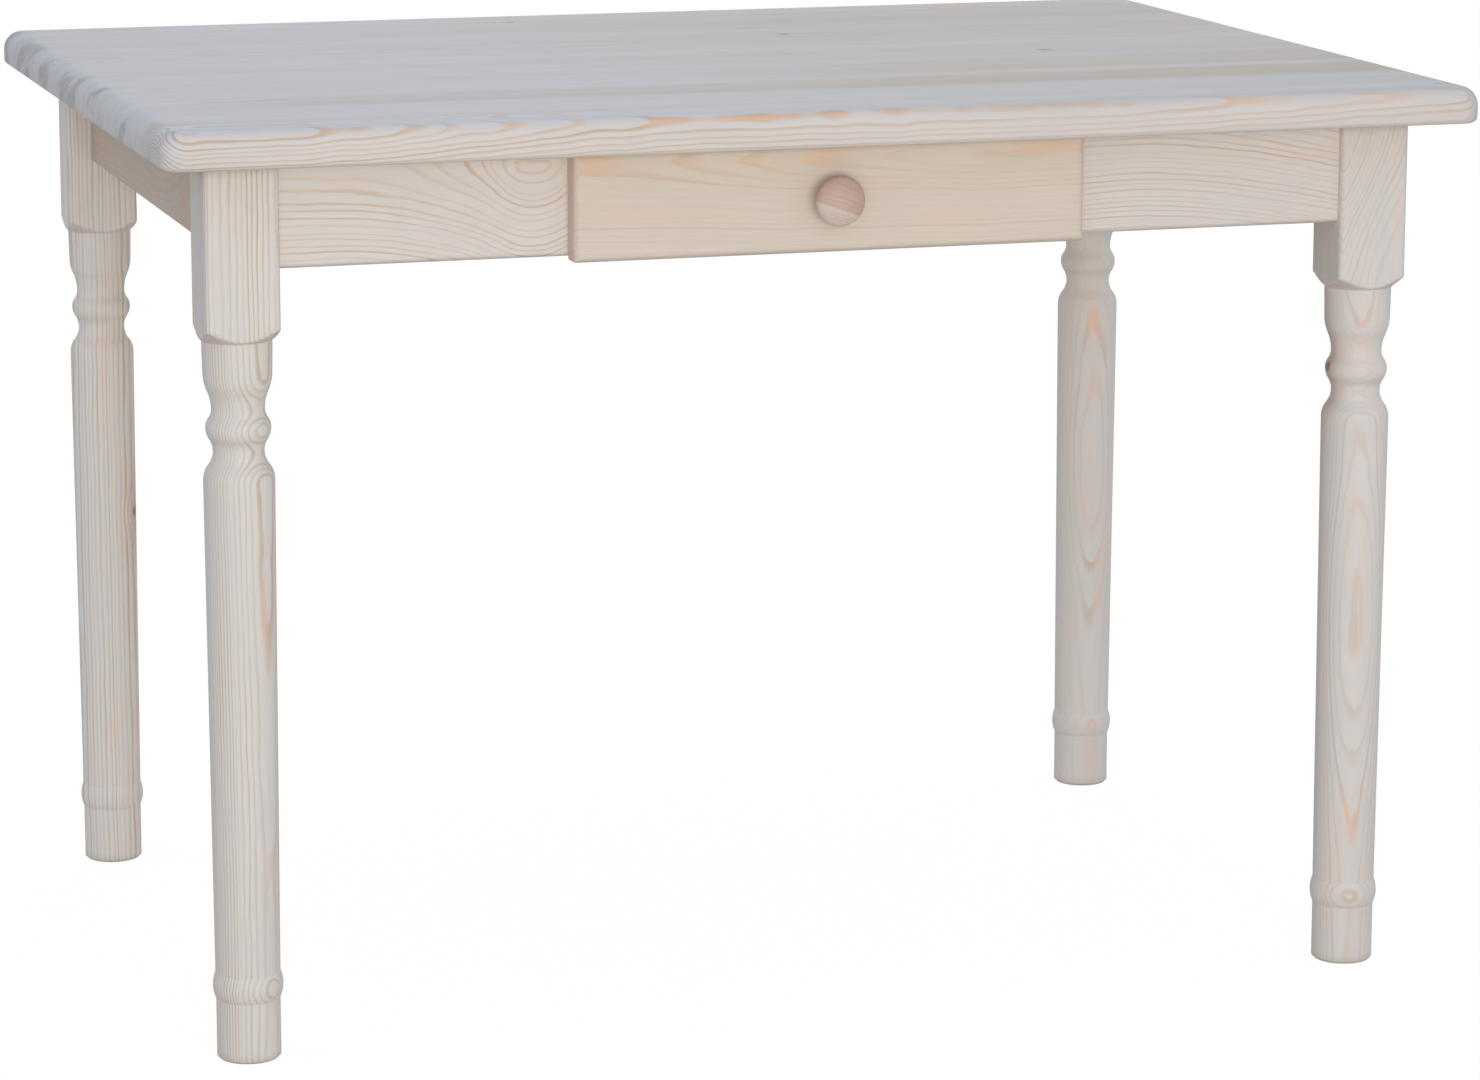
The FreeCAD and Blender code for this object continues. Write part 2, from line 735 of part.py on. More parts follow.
def cleat(shop, side, sign, holes):
    size, at = shop.size, shop.at
    section = size.cleat_section
    body = board(shop, "cleat_" + side, section, size.cleat_length, section)
    left = at.end_inside - section if sign > 0 else -1 * at.end_inside
    place(body, left, size.cleat_length / -2, at.underside - section)
    drilled(shop, "top_cleat_" + side, body, holes)


# ---- drawer runners --------------------------------------------------------------------------


def dowel_spots(shop):
    """Dowels from the front and the back apron into the ends of the runners and guides."""
    size, at = shop.size, shop.at
    runner = at.runner_top - size.runner_thickness / 2
    guide = (at.runner_top + at.underside) / 2
    spots = []
    for sign in (-1, 1):
        for height in (runner, guide):
            x = sign * at.guide_middle
            spots.append((x, at.front_inside - size.dowel_depth, height, BACK))
            spots.append((x, at.back_inside + size.dowel_depth, height, FRONT))
    return spots


def runner_screw_spots(shop):
    size, at = shop.size, shop.at
    middle = (at.front_inside + at.back_inside) / 2
    height = at.runner_top - size.runner_thickness
    spots = []
    for sign in (-1, 1):
        for step in (-1, 0, 1):
            y = middle + step * size.runner_screw_pitch
            spots.append((sign * at.guide_middle, y, height, UP))
    return spots


def runner_and_guide(shop, side, sign, dowel_holes, screw_holes):
    """The ledge under a drawer side, and on it the batten that guides the drawer."""
    size, at = shop.size, shop.at
    span = at.back_inside - at.front_inside
    ledge = size.drawer_gap + size.drawer_board
    width = ledge + size.guide_thickness
    inner = size.opening_width / 2
    outer = inner + size.guide_thickness
    runner = board(shop, "runner_" + side, width, span, size.runner_thickness)
    left = inner - ledge if sign > 0 else -1 * outer
    place(runner, left, at.front_inside, at.runner_top - size.runner_thickness)
    drilled(shop, "drawer_runner_" + side, runner, dowel_holes, screw_holes)
    height = at.underside - at.runner_top
    guide = board(shop, "guide_" + side, size.guide_thickness, span, height)
    place(guide, inner if sign > 0 else -1 * outer, at.front_inside, at.runner_top)
    drilled(shop, "drawer_guide_" + side, guide, dowel_holes, screw_holes)


def stop_spot(shop):
    size, at = shop.size, shop.at
    y = at.front_inside + size.stop_setback + size.stop_width / 2
    return (0, y, at.underside - size.stop_thickness, UP)


def drawer_stop(shop, holes):
    """A turn block under the top, just behind the front apron, that the drawer back meets."""
    size, at = shop.size, shop.at
    body = board(shop, "stop_block", size.stop_length, size.stop_width, size.stop_thickness)
    place(body, size.stop_length / -2, at.front_inside + size.stop_setback,
          at.underside - size.stop_thickness)
    drilled(shop, "drawer_stop", body, holes)


# ---- drawer ----------------------------------------------------------------------------------


def bottom_groove(shop):
    """The room that the drawer bottom needs in the sides and in the drawer front."""
    size, at = shop.size, shop.at
    half = at.drawer_inside + size.groove_depth
    groove = shop.add("Part::Box", "bottom_groove")
    bind(groove, Length=2 * half, Width=size.drawer_length + size.groove_depth,
         Height=size.bottom_thickness + size.groove_play)
    place(groove, -1 * half, at.drawer_front_back - size.groove_depth, at.panel_bottom)
    return groove


def front_dowel_spots(shop):
    size, at = shop.size, shop.at
    middle = at.drawer_half - size.drawer_board / 2
    low = at.drawer_bottom + size.front_dowel_rise
    y = at.drawer_front_back - size.front_dowel_depth
    return [
        (sign * middle, y, low + level * size.front_dowel_pitch, BACK)
        for sign in (-1, 1)
        for level in (0, 1)
    ]


def back_screw_spots(shop):
    size, at = shop.size, shop.at
    top = at.drawer_bottom + size.drawer_height
    middle = (at.panel_top + top) / 2
    y = at.drawer_end - size.drawer_board / 2
    return [
        (sign * at.drawer_half, y, middle + level * size.back_screw_pitch / 2,
         Vector(-sign, 0, 0))
        for sign in (-1, 1)
        for level in (-1, 1)
    ]


def pin_spots(shop):
    size, at = shop.size, shop.at
    y = at.drawer_end - size.drawer_board / 2
    return [(step * size.pin_pitch, y, at.panel_bottom, UP) for step in (-1, 0, 1)]


def drawer_front(shop, *holes):
    """The board that covers the opening, rounded all round its face."""
    size, at = shop.size, shop.at
    body = board(shop, "front_board", size.front_width, size.front_thickness, size.front_height)
    ease(shop, body, "front_board_round", size.front_round, lambda p: near(p.y, 0))
    place(body, size.front_width / -2, at.drawer_front_back - size.front_thickness,
          at.front_bottom)
    drilled(shop, "drawer_front", body, *holes)


def drawer_side(shop, side, sign, *holes):
    size, at = shop.size, shop.at
    body = board(shop, "side_" + side, size.drawer_board, size.drawer_length,
                 size.drawer_height)
    left = at.drawer_inside if sign > 0 else -1 * at.drawer_half
    place(body, left, at.drawer_front_back, at.drawer_bottom)
    drilled(shop, "drawer_side_" + side, body, *holes)


def drawer_back(shop, *holes):
    size, at = shop.size, shop.at
    height = at.drawer_bottom + size.drawer_height - at.panel_top
    body = board(shop, "back_board", 2 * at.drawer_inside, size.drawer_board, height)
    place(body, -1 * at.drawer_inside, at.drawer_end - size.drawer_board, at.panel_top)
    drilled(shop, "drawer_back", body, *holes)


def drawer_bottom(shop, *holes):
    size, at = shop.size, shop.at
    half = at.drawer_inside + size.groove_depth - size.groove_end_play
    tongue = size.groove_depth - size.groove_end_play
    body = board(shop, "bottom_panel", 2 * half, size.drawer_length + tongue,
                 size.bottom_thickness)
    place(body, -1 * half, at.drawer_front_back - tongue, at.panel_bottom)
    drilled(shop, "drawer_bottom", body, *holes)


def knob(shop, *holes):
    """A turned mushroom knob. Its domed face meets the rounded rim without a step: with the
    rim's centre at a - r from the axis, the dome's radius is (a2 + e2 - 2ar) / 2(e - r)."""
    size, at = shop.size, shop.at
    wide = size.knob_radius
    rim = size.knob_rim
    crown = size.knob_length - size.knob_rim_height
    dome = (wide * wide + crown * crown - 2 * wide * rim) / (2 * (crown - rim))
    share = dome / (dome - rim)
    meet = ((wide - rim) * share, size.knob_length - dome + (dome - crown) * share)
    neck = (size.knob_neck_radius, size.knob_neck_height)
    under = (wide - size.knob_under, size.knob_rim_height - size.knob_under)
    path = [
        (0, 0, None),
        (size.knob_foot_radius, 0, None),
        (*neck, None),
        (*under, (upright_radius(neck, under), LEFT)),
        (wide, size.knob_rim_height, (size.knob_under, RIGHT)),
        (*meet, (rim, RIGHT)),
        (0, size.knob_length, (dome, RIGHT)),
    ]
    body = shop.add("PartDesign::Body", "knob_blank")
    sketch = outline(body, "XZ_Plane", "knob_outline", path)
    turning = body.newObject("PartDesign::Revolution", "knob_turning")
    turning.Profile = sketch
    turning.ReferenceAxis = (sketch, ["V_Axis"])
    turning.Angle = FULL_TURN
    face = at.drawer_front_back - size.front_thickness
    place(body, 0, face, at.knob_height, Rotation(UP, FRONT))
    drilled(shop, "drawer_knob", body, *holes)


def knob_fixing(shop):
    """A round-headed screw from inside the drawer through its front into the knob. Returns the
    hole for it."""
    size, at = shop.size, shop.at
    length = size.front_thickness + size.knob_screw_grip
    shank = rod(shop, "knob_screw_shank", size.knob_screw_radius, length)
    head_height = size.knob_screw_head_height
    head = primitive(shop, "Part::Cylinder", "knob_screw_head", -1 * head_height,
                     Radius=size.knob_screw_head_radius, Height=head_height)
    whole = shop.add("Part::MultiFuse", "knob_screw_whole")
    whole.Shapes = [shank, head]
    hole = rod(shop, "knob_screw_hole", size.knob_screw_radius, length, size.fit)
    spots = [(0, at.drawer_front_back, at.knob_height, FRONT)]
    return fasteners(shop, "knob_screw", whole, hole, spots)


# ---- assembly --------------------------------------------------------------------------------


def build_frame(shop):
    """Everything that stands still."""
    size = shop.size
    corners, reaches = {}, {}
    for name, side_x, side_y in CORNERS:
        corners[name] = Corner(shop, side_x, side_y)
        reaches[name] = block_reach(shop, side_y)
    block_holes, bolt_holes, top_holes = corner_hardware(shop, corners, reaches)
    screw_master = screw(shop, "wood_screw", size.screw_radius, size.screw_length)
    screw_hole = screw(shop, "wood_screw_hole", size.screw_radius, size.screw_length, size.fit)
    cleat_holes = fasteners(shop, "cleat_screws", screw_master, screw_hole,
                            cleat_screw_spots(shop, -1) + cleat_screw_spots(shop, 1))
    runner_holes = fasteners(shop, "runner_screws", screw_master, screw_hole,
                             runner_screw_spots(shop))
    stop_hole = fasteners(shop, "stop_screw", screw_master, screw_hole, [stop_spot(shop)])
    dowel_holes = fasteners(
        shop, "runner_dowels",
        rod(shop, "dowel", size.dowel_radius, size.dowel_length),
        rod(shop, "dowel_hole", size.dowel_radius, size.dowel_length, size.fit),
        dowel_spots(shop),
    )
    table_top(shop, top_holes, cleat_holes, stop_hole)
    for name, side_x, side_y in CORNERS:
        leg(shop, name, side_x, side_y, bolt_holes)
        corner_block(shop, name, corners[name], reaches[name], block_holes, bolt_holes,
                     top_holes)
    front_apron(shop, block_holes, dowel_holes)
    back_apron(shop, block_holes, dowel_holes)
    for side, sign in SIDES:
        end_apron(shop, side, sign, block_holes, cleat_holes)
        cleat(shop, side, sign, cleat_holes)
        runner_and_guide(shop, side, sign, dowel_holes, runner_holes)
    drawer_stop(shop, stop_hole)


def build_drawer(shop):
    """Everything that slides."""
    size = shop.size
    groove = bottom_groove(shop)
    dowel_holes = fasteners(
        shop, "drawer_front_dowels",
        rod(shop, "front_dowel", size.front_dowel_radius, size.front_dowel_length),
        rod(shop, "front_dowel_hole", size.front_dowel_radius, size.front_dowel_length,
            size.fit),
        front_dowel_spots(shop),
    )
    back_holes = fasteners(
        shop, "drawer_back_screws",
        screw(shop, "back_screw", size.back_screw_radius, size.back_screw_length),
        screw(shop, "back_screw_hole", size.back_screw_radius, size.back_screw_length,
              size.fit),
        back_screw_spots(shop),
    )
    pin_holes = fasteners(
        shop, "drawer_bottom_pins",
        rod(shop, "bottom_pin", size.pin_radius, size.pin_length),
        rod(shop, "bottom_pin_hole", size.pin_radius, size.pin_length, size.fit),
        pin_spots(shop),
    )
    knob_hole = knob_fixing(shop)
    drawer_front(shop, groove, dowel_holes, knob_hole)
    for side, sign in SIDES:
        drawer_side(shop, side, sign, groove, dowel_holes, back_holes)
    drawer_back(shop, back_holes, pin_holes)
    drawer_bottom(shop, pin_holes)
    knob(shop, knob_hole)


def check(shop):
    """Stops if any object failed or any sub-part is empty or broken."""
    for item in shop.document.Objects:
        if "Invalid" in item.State or "Error" in item.State:
            raise RuntimeError("%s is %s" % (item.Label, item.State))
    for item in shop.pieces:
        if item.Shape.isNull() or not item.Shape.isValid() or not item.Shape.Solids:
            raise RuntimeError("%s has no valid shape" % item.Label)


def write(shop):
    os.makedirs("parts", exist_ok=True)
    for item in shop.pieces:
        item.Shape.exportStep("parts/%s.step" % item.Label)
        print("%-26s %2d solid(s) %12.1f mm3"
              % (item.Label, len(item.Shape.Solids), item.Shape.Volume))


def main():
    shop = Joinery()
    build_frame(shop)
    build_drawer(shop)
    shop.document.recompute()
    check(shop)
    write(shop)


main()
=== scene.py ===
import json
import math
from dataclasses import dataclass

import bpy
import numpy as np
from bpy.props import FloatProperty, FloatVectorProperty, PointerProperty
from bpy.types import Operator, Panel, PropertyGroup
from mathutils import Matrix, Vector


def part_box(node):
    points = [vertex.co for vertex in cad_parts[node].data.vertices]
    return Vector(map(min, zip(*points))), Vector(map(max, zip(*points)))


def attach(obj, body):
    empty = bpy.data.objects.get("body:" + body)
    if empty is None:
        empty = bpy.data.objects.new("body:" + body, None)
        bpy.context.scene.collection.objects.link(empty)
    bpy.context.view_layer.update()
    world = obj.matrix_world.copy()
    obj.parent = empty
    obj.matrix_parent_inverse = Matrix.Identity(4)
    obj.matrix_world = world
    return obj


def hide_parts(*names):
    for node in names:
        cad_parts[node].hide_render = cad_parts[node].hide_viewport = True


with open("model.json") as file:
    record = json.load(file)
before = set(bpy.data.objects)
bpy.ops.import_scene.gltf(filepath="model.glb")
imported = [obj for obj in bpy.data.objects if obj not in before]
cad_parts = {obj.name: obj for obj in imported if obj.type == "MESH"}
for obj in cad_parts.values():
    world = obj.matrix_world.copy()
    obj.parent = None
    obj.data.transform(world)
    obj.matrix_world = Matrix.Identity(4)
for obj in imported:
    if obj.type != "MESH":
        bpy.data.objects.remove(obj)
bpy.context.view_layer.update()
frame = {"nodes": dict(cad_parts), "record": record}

# A raw pine table with turned legs and one drawer. Metres, +Z up, the drawer to the front (-Y).
# Patterns in the wood are worked out in millimetres.

bl_info = {
    "name": "Tavern Table",
    "version": (1, 0, 0),
    "blender": (4, 5, 0),
    "location": "3D Viewport > Sidebar > Tavern Table",
    "description": "Dresses the tavern table in its pine, beech and zinc, piece by piece",
    "category": "Object",
}

MM = 0.001
QUARTER = math.pi / 2
BODY_OF = {name: body for body, names in frame["record"]["behaviour"]["bodies"].items()
           for name in names}
SLOT_OF = {row["node"]: row["material_slot"] for row in frame["record"]["subparts"]}


def paint(red, green, blue):
    """A colour written as it shows on a screen, 0 to 255, as the linear colour that light uses."""
    shares = np.array((red, green, blue)) / 255
    return tuple(np.where(shares > 0.04045, ((shares + 0.055) / 1.055) ** 2.4, shares / 12.92))


# ---- sizes and colours that a user would change -----------------------------------------------


def length(name, description, millimetres):
    """A length, given in millimetres."""
    return FloatProperty(name=name, description=description, default=millimetres * MM,
                         min=0, subtype="DISTANCE", unit="LENGTH")


def colour(name, description, *screen):
    """A colour, given as it shows on a screen."""
    return FloatVectorProperty(name=name, description=description, default=paint(*screen),
                               min=0, max=1, size=3, subtype="COLOR")


class TableSizes(PropertyGroup):
    """Roundings and turned sizes of the pieces; their places come from the frame."""
    top_corner: length("Top corner", "Radius of the top's corners in plan", 20)
    top_round: length("Top round-over", "Round-over of the top's upper edge", 16)
    top_ease: length("Top lower edge", "Rounding of the top's lower edge", 5)
    leg_arris: length("Leg arris", "Rounding of the upright edges of a leg's block", 5)
    front_round: length("Drawer round", "Rounding round the drawer front's face", 6)
    front_corner: length("Drawer corner", "Rounding of the drawer front's four corners", 2)
    knob_rim: length("Knob rim", "Rounding of the knob's face", 7)
    knob_under: length("Knob back", "Rounding behind the knob's widest part", 2.5)


class WoodColours(PropertyGroup):
    """Colours of the woods and the metal."""
    pale: colour("Pine", "Soft early wood of the legs and aprons", 216, 207, 199)
    line: colour("Pine rings", "Hard late wood of the legs and aprons", 190, 171, 149)
    heart: colour("Pine heart", "Resinous wood of the legs and the top's edges", 230, 186, 156)
    amber: colour("Pine amber", "Resinous wood of the aprons and the drawer front", 225, 184, 145)
    # The top's face colour is partly the wood's own tone and partly painted cool light from above:
    # it is greyer and cooler than the edges' edge_pale.
    top_pale: colour("Top", "Soft wood of the table top", 210, 205, 203)
    top_warm: colour("Top, warm", "Streaks of darker wood in the table top", 196, 181, 166)
    edge_pale: colour("Top edge", "Soft wood along the top's front and back edges", 213, 202, 194)
    apron_line: colour("Apron rings", "Hard late wood of the aprons", 200, 171, 144)
    drawer_pale: colour("Drawer front", "Soft wood of the drawer front", 213, 198, 182)
    inside_pale: colour("Inside pine", "Planed wood inside the table", 220, 206, 184)
    inside_line: colour("Inside pine rings", "Its late wood", 204, 174, 138)
    knob: colour("Knob, heartwood", "Upper part of the turned knob", 194, 164, 148)
    knob_sap: colour("Knob, sapwood", "Lower part of the turned knob", 210, 190, 174)
    beech: colour("Beech", "Dowels", 206, 170, 132)
    zinc: colour("Zinc", "Plating of the screws, bolts, washers and nuts", 196, 194, 188)


class StudioLight(PropertyGroup):
    """Lamps, sky and floor."""
    key: FloatProperty(name="Key light", description="Soft light from the front",
                       default=107, min=0, subtype="POWER", unit="POWER")
    back: FloatProperty(name="Back light", description="Soft light behind the table",
                        default=30, min=0, subtype="POWER", unit="POWER")
    sky: FloatProperty(name="Sky", description="Even light from all round", default=0.84, min=0)
    floor: colour("Floor", "The studio floor", 204, 199, 192)


# ---- surfaces ---------------------------------------------------------------------------------


def node_box(node, unit=1.0):
    """A CAD node's lowest corner, highest corner and middle, in metres or in another unit."""
    low, high = (np.array(corner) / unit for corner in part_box(node))
    return low, high, (low + high) / 2


def linked(name, data):
    """A new object of the scene."""
    thing = bpy.data.objects.new(name, data)
    bpy.context.scene.collection.objects.link(thing)
    return thing


def skin(name, points):
    """Closed mesh over a grid of points, rows by columns: the columns run anticlockwise round
    the piece and join up, the rows run from its back to its face, and a flat face closes the
    first and the last row."""
    rows, columns = points.shape[:2]
    corner = np.arange(rows * columns).reshape(rows, columns)
    after = np.roll(corner, -1, axis=1)
    quads = np.stack((corner[:-1], after[:-1], after[1:], corner[1:]), axis=-1)
    faces = quads.reshape(-1, 4).tolist() + [corner[0, ::-1].tolist(), corner[-1].tolist()]
    mesh = bpy.data.meshes.new(name)
    mesh.from_pydata(points.reshape(-1, 3).tolist(), [], faces)
    mesh.shade_smooth()
    return linked(name, mesh)


def stand_for(piece, node):
    """The piece rides where its CAD node does and takes its place."""
    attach(piece, BODY_OF[node])
    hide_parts(node)


def joined(*stretches):
    """Sample places along a profile, without the places that two stretches share."""
    return np.unique(np.concatenate(stretches))


def facing_front(points):
    """Points (across, up, out of the face) turned so that the face looks to the front, -Y."""
    return np.stack((points[..., 0], -points[..., 2], points[..., 1]), axis=-1)


def rim(sides, bend_steps):
    """Columns of a rounded rectangle, anticlockwise from the front left: each column's share of
    the straight sides, -1 to 1 in both directions, and its outward direction. sides are the
    numbers of columns along x and along y."""
    shares, outward = [], []
    bend = np.linspace(-QUARTER, 0, bend_steps)
    for turn in range(4):
        along = np.linspace(-1, 1, sides[turn % 2])[:-1]
        share = np.concatenate((np.stack((along, -np.ones_like(along)), -1),
                                np.tile((1.0, -1.0), (bend_steps, 1))))[:-1]
        out = np.concatenate((np.tile((0.0, -1.0), (len(along), 1)),
                              np.stack((np.cos(bend), np.sin(bend)), -1)))[:-1]
        spin = np.array(((math.cos(turn * QUARTER), math.sin(turn * QUARTER)),
                         (-math.sin(turn * QUARTER), math.cos(turn * QUARTER))))
        shares.append(share @ spin)
        outward.append(out @ spin)
    return np.concatenate(shares), np.concatenate(outward)


def slab(half, thickness, corner, back_round, face_round, columns):
    """A board with rounded edges, lying on z = 0 round the z axis. Each row is the plan outline
    moved inwards by inset: half sizes less inset, corner radius less inset. Round an edge of
    radius r, inset = r (1 - sin a) and height = r (1 - cos a) as a goes from 0 to 90 degrees;
    on the flat faces the outline shrinks to the middle."""
    shares, outward = columns
    turn = np.linspace(0, QUARTER, 9)
    full = np.ones_like(turn)
    shrink = np.array((0.01, 0.4, 0.8, 0.97))
    face = np.ones_like(shrink)
    inset = np.concatenate((back_round * face, back_round * (1 - np.sin(turn)),
                            face_round * (1 - np.cos(turn)), face_round * face))
    height = np.concatenate((0 * face, back_round * (1 - np.cos(turn)),
                             thickness - face_round * (1 - np.sin(turn)), thickness * face))
    scale = np.concatenate((shrink, full, full, shrink[::-1]))
    inset, height, scale = (row[:, None, None] for row in (inset, height, scale))
    sharpest = 0.05 * corner
    bend = np.maximum(corner - inset, sharpest)
    plan = shares * (np.array(half) - inset - bend) + outward * bend
    return np.concatenate((plan * scale, np.broadcast_to(height, (*plan.shape[:2], 1))), axis=-1)


def bow(distance, rise, step):
    """How far an arc has left the upright at a distance from its upright end, if it leaves by
    step over rise: R - sqrt(R2 - distance2), with R = (rise2 + step2) / (2 step)."""
    radius = (rise * rise + step * step) / (2 * abs(step))
    return np.copysign(radius - np.sqrt(radius ** 2 - distance ** 2), step)


def profile(height, points):
    """Radius of a turned piece at each height. points are (height, radius, form), and the form
    says how a stretch reaches its point: LINE straight, CREST as an arc that ends upright, HEEL
    as an arc that starts upright, SWEEP as a heel and a crest of equal size."""
    radius = np.full_like(height, points[-1][1])
    for (low, start, _), (high, end, form) in zip(points, points[1:]):
        rise, step = high - low, end - start
        inside = (height >= low) & (height <= high)
        up = height[inside] - low
        down = high - height[inside]
        if form == "LINE":
            radius[inside] = start + step * up / rise
        elif form == "CREST":
            radius[inside] = end - bow(down, rise, step)
        elif form == "HEEL":
            radius[inside] = start + bow(up, rise, step)
        else:
            lower = start + bow(np.minimum(up, rise / 2), rise / 2, step / 2)
            upper = end - bow(np.minimum(down, rise / 2), rise / 2, step / 2)
            radius[inside] = np.where(up < down, lower, upper)
    return radius


# ---- table top and drawer front ---------------------------------------------------------------

TOP_SIDES, TOP_BEND_STEPS = (56, 41), 10
FRONT_SIDES, FRONT_BEND_STEPS = (30, 12), 5
FRONT_BACK_ROUND = 0.4 * MM


def table_top(sizes):
    """The glued top: a slab with a large round-over above and a small one below."""
    low, high, middle = node_box("table_top")
    half = (high - low)[:2] / 2
    points = slab(half, high[2] - low[2], sizes.top_corner, sizes.top_ease, sizes.top_round,
                  rim(TOP_SIDES, TOP_BEND_STEPS))
    return skin("table_top_dressed", points + (middle[0], middle[1], low[2]))


def drawer_front(sizes):
    """The drawer front: a slab that stands upright, rounded round its face."""
    low, high, middle = node_box("drawer_front")
    width, thickness, height = high - low
    points = slab((width / 2, height / 2), thickness, sizes.front_corner, FRONT_BACK_ROUND,
                  sizes.front_round, rim(FRONT_SIDES, FRONT_BEND_STEPS))
    return skin("drawer_front_dressed", facing_front(points) + (middle[0], high[1], middle[2]))


# ---- legs -------------------------------------------------------------------------------------

LEG_BLOCK, BLOCK_START = 60, 620
SHOULDER, SHOULDER_RISE, SHOULDER_SLOPE = 585.5, 16, 0.83
LEG_TURNING = (
    (0, 23.8, "LINE"),
    (2, 25.8, "LINE"),
    (49.5, 25.8, "LINE"),
    (60.5, 28.3, "CREST"),
    (71.5, 26.1, "HEEL"),
    (474, 28.4, "LINE"),
    (497, 20.4, "SWEEP"),
    (515.8, 26, "SWEEP"),
    (530.5, 21.2, "SWEEP"),
    (560, 27.5, "SWEEP"),
    (SHOULDER, 28, "LINE"),
    (SHOULDER + 40 * SHOULDER_SLOPE, 68, "LINE"),
)


def block_angles(half, arris):
    """Directions of the points round a square with rounded corners, anticlockwise."""
    reach = half - arris
    side = np.arctan2(np.linspace(-reach, reach, 11), half)
    bend = np.linspace(0, QUARTER, 7)[1:-1]
    corner = np.arctan2(reach + arris * np.sin(bend), reach + arris * np.cos(bend))
    quarter = np.concatenate((side, corner))
    return np.concatenate([quarter + turn * QUARTER for turn in range(4)])


def block_reach(angles, half, arris):
    """Distance from a square block's axis to its surface in each direction: half / cos on the
    flat sides, and where the ray (cos, sin) meets the corner's circle round (c, c) elsewhere:
    p + sqrt(p2 - 2 c2 + arris2) with p = c (cos + sin)."""
    cosine = np.maximum(abs(np.cos(angles)), abs(np.sin(angles)))
    sine = np.minimum(abs(np.cos(angles)), abs(np.sin(angles)))
    centre = half - arris
    middle = centre * (cosine + sine)
    corner = middle + np.sqrt(np.maximum(middle ** 2 - 2 * centre ** 2 + arris ** 2, 0))
    return np.where(half * sine / cosine <= centre, half / cosine, corner)


def leg(name, sizes):
    """A turned leg: in each direction and at each height, the surface is the nearer of the
    square block and the turning, blended over a softness of a third of a millimetre."""
    _, high, middle = node_box(name, MM)
    softness, beside = 0.3, 0.5
    arris = sizes.leg_arris / MM
    angles = block_angles(LEG_BLOCK / 2, arris)
    levels = [height for height, _, _ in LEG_TURNING]
    _, chamfer, ankle, _, column, neck = levels[:6]
    turned = [np.linspace(*stretch, 13) for stretch in zip(levels[2:-2], levels[3:-1])]
    shoulder = np.linspace(SHOULDER, SHOULDER + SHOULDER_RISE, 20)
    kinks = np.array([ankle - beside, column + beside, SHOULDER - beside])
    heights = joined(np.linspace(0, chamfer, 4), np.linspace(chamfer, ankle, 8), *turned,
                     np.linspace(column, neck, 30), kinks, shoulder,
                     np.linspace(BLOCK_START, high[2], 8))
    reach = -softness * np.logaddexp(-block_reach(angles, LEG_BLOCK / 2, arris) / softness,
                                     -profile(heights, LEG_TURNING)[:, None] / softness)
    shrink = np.array((0.05, 0.6, 0.97))[:, None]
    reach = np.concatenate((reach[0] * shrink, reach, reach[-1] * shrink[::-1]))
    ends = len(shrink)
    heights = np.concatenate((np.zeros(ends), heights, np.full(ends, high[2])))
    level = np.broadcast_to(heights[:, None], reach.shape)
    points = np.stack((reach * np.cos(angles), reach * np.sin(angles), level), axis=-1)
    return skin(name + "_dressed", (points + (middle[0], middle[1], 0)) * MM)


# ---- knob -------------------------------------------------------------------------------------


def knob(sizes):
    """The turned knob: a profile (radius, height off the drawer front) carried round its axis.
    The domed face meets the rounded rim without a step: with the rim's centre a - r from the
    axis and the dome e high, the dome's radius is (a2 + e2 - 2 a r) / 2 (e - r)."""
    low, high, middle = node_box("drawer_knob", MM)
    wide, tall = (high[0] - low[0]) / 2, high[1] - low[1]
    widest, neck, neck_height, foot = 16.5, 8.5, 4, 10
    back_middle, face_middle = 0.5, 0.03
    rim_round, under = sizes.knob_rim / MM, sizes.knob_under / MM
    crown = tall - widest
    dome = (wide * wide + crown * crown - 2 * wide * rim_round) / (2 * (crown - rim_round))
    meet = math.asin((wide - rim_round) / (dome - rim_round))
    under_start = (wide - under, widest - under)
    rise = np.linspace(0, under_start[1] - neck_height, 10)
    turn = np.linspace(0, QUARTER, 7)
    bend = np.linspace(QUARTER, meet, 12)
    face = np.linspace(meet, face_middle, 12)
    radius = np.concatenate((
        (back_middle, foot), np.linspace(foot, neck, 4)[1:],
        neck + bow(rise, under_start[1] - neck_height, under_start[0] - neck)[1:],
        wide - under + under * np.sin(turn)[1:],
        wide - rim_round + rim_round * np.sin(bend)[1:],
        dome * np.sin(face)[1:]))
    height = np.concatenate((
        (0, 0), np.linspace(0, neck_height, 4)[1:],
        neck_height + rise[1:],
        widest - under * np.cos(turn)[1:],
        widest + rim_round * np.cos(bend)[1:],
        tall - dome * (1 - np.cos(face))[1:]))
    angles = np.linspace(0, 4 * QUARTER, 65)[:-1]
    points = np.stack((radius[:, None] * np.cos(angles), radius[:, None] * np.sin(angles),
                       np.broadcast_to(height[:, None], (len(height), len(angles)))), axis=-1)
    place = (middle[0], high[1], middle[2])
    return skin("drawer_knob_dressed", (facing_front(points) + place) * MM)


# ---- materials: nodes written as sums ---------------------------------------------------------


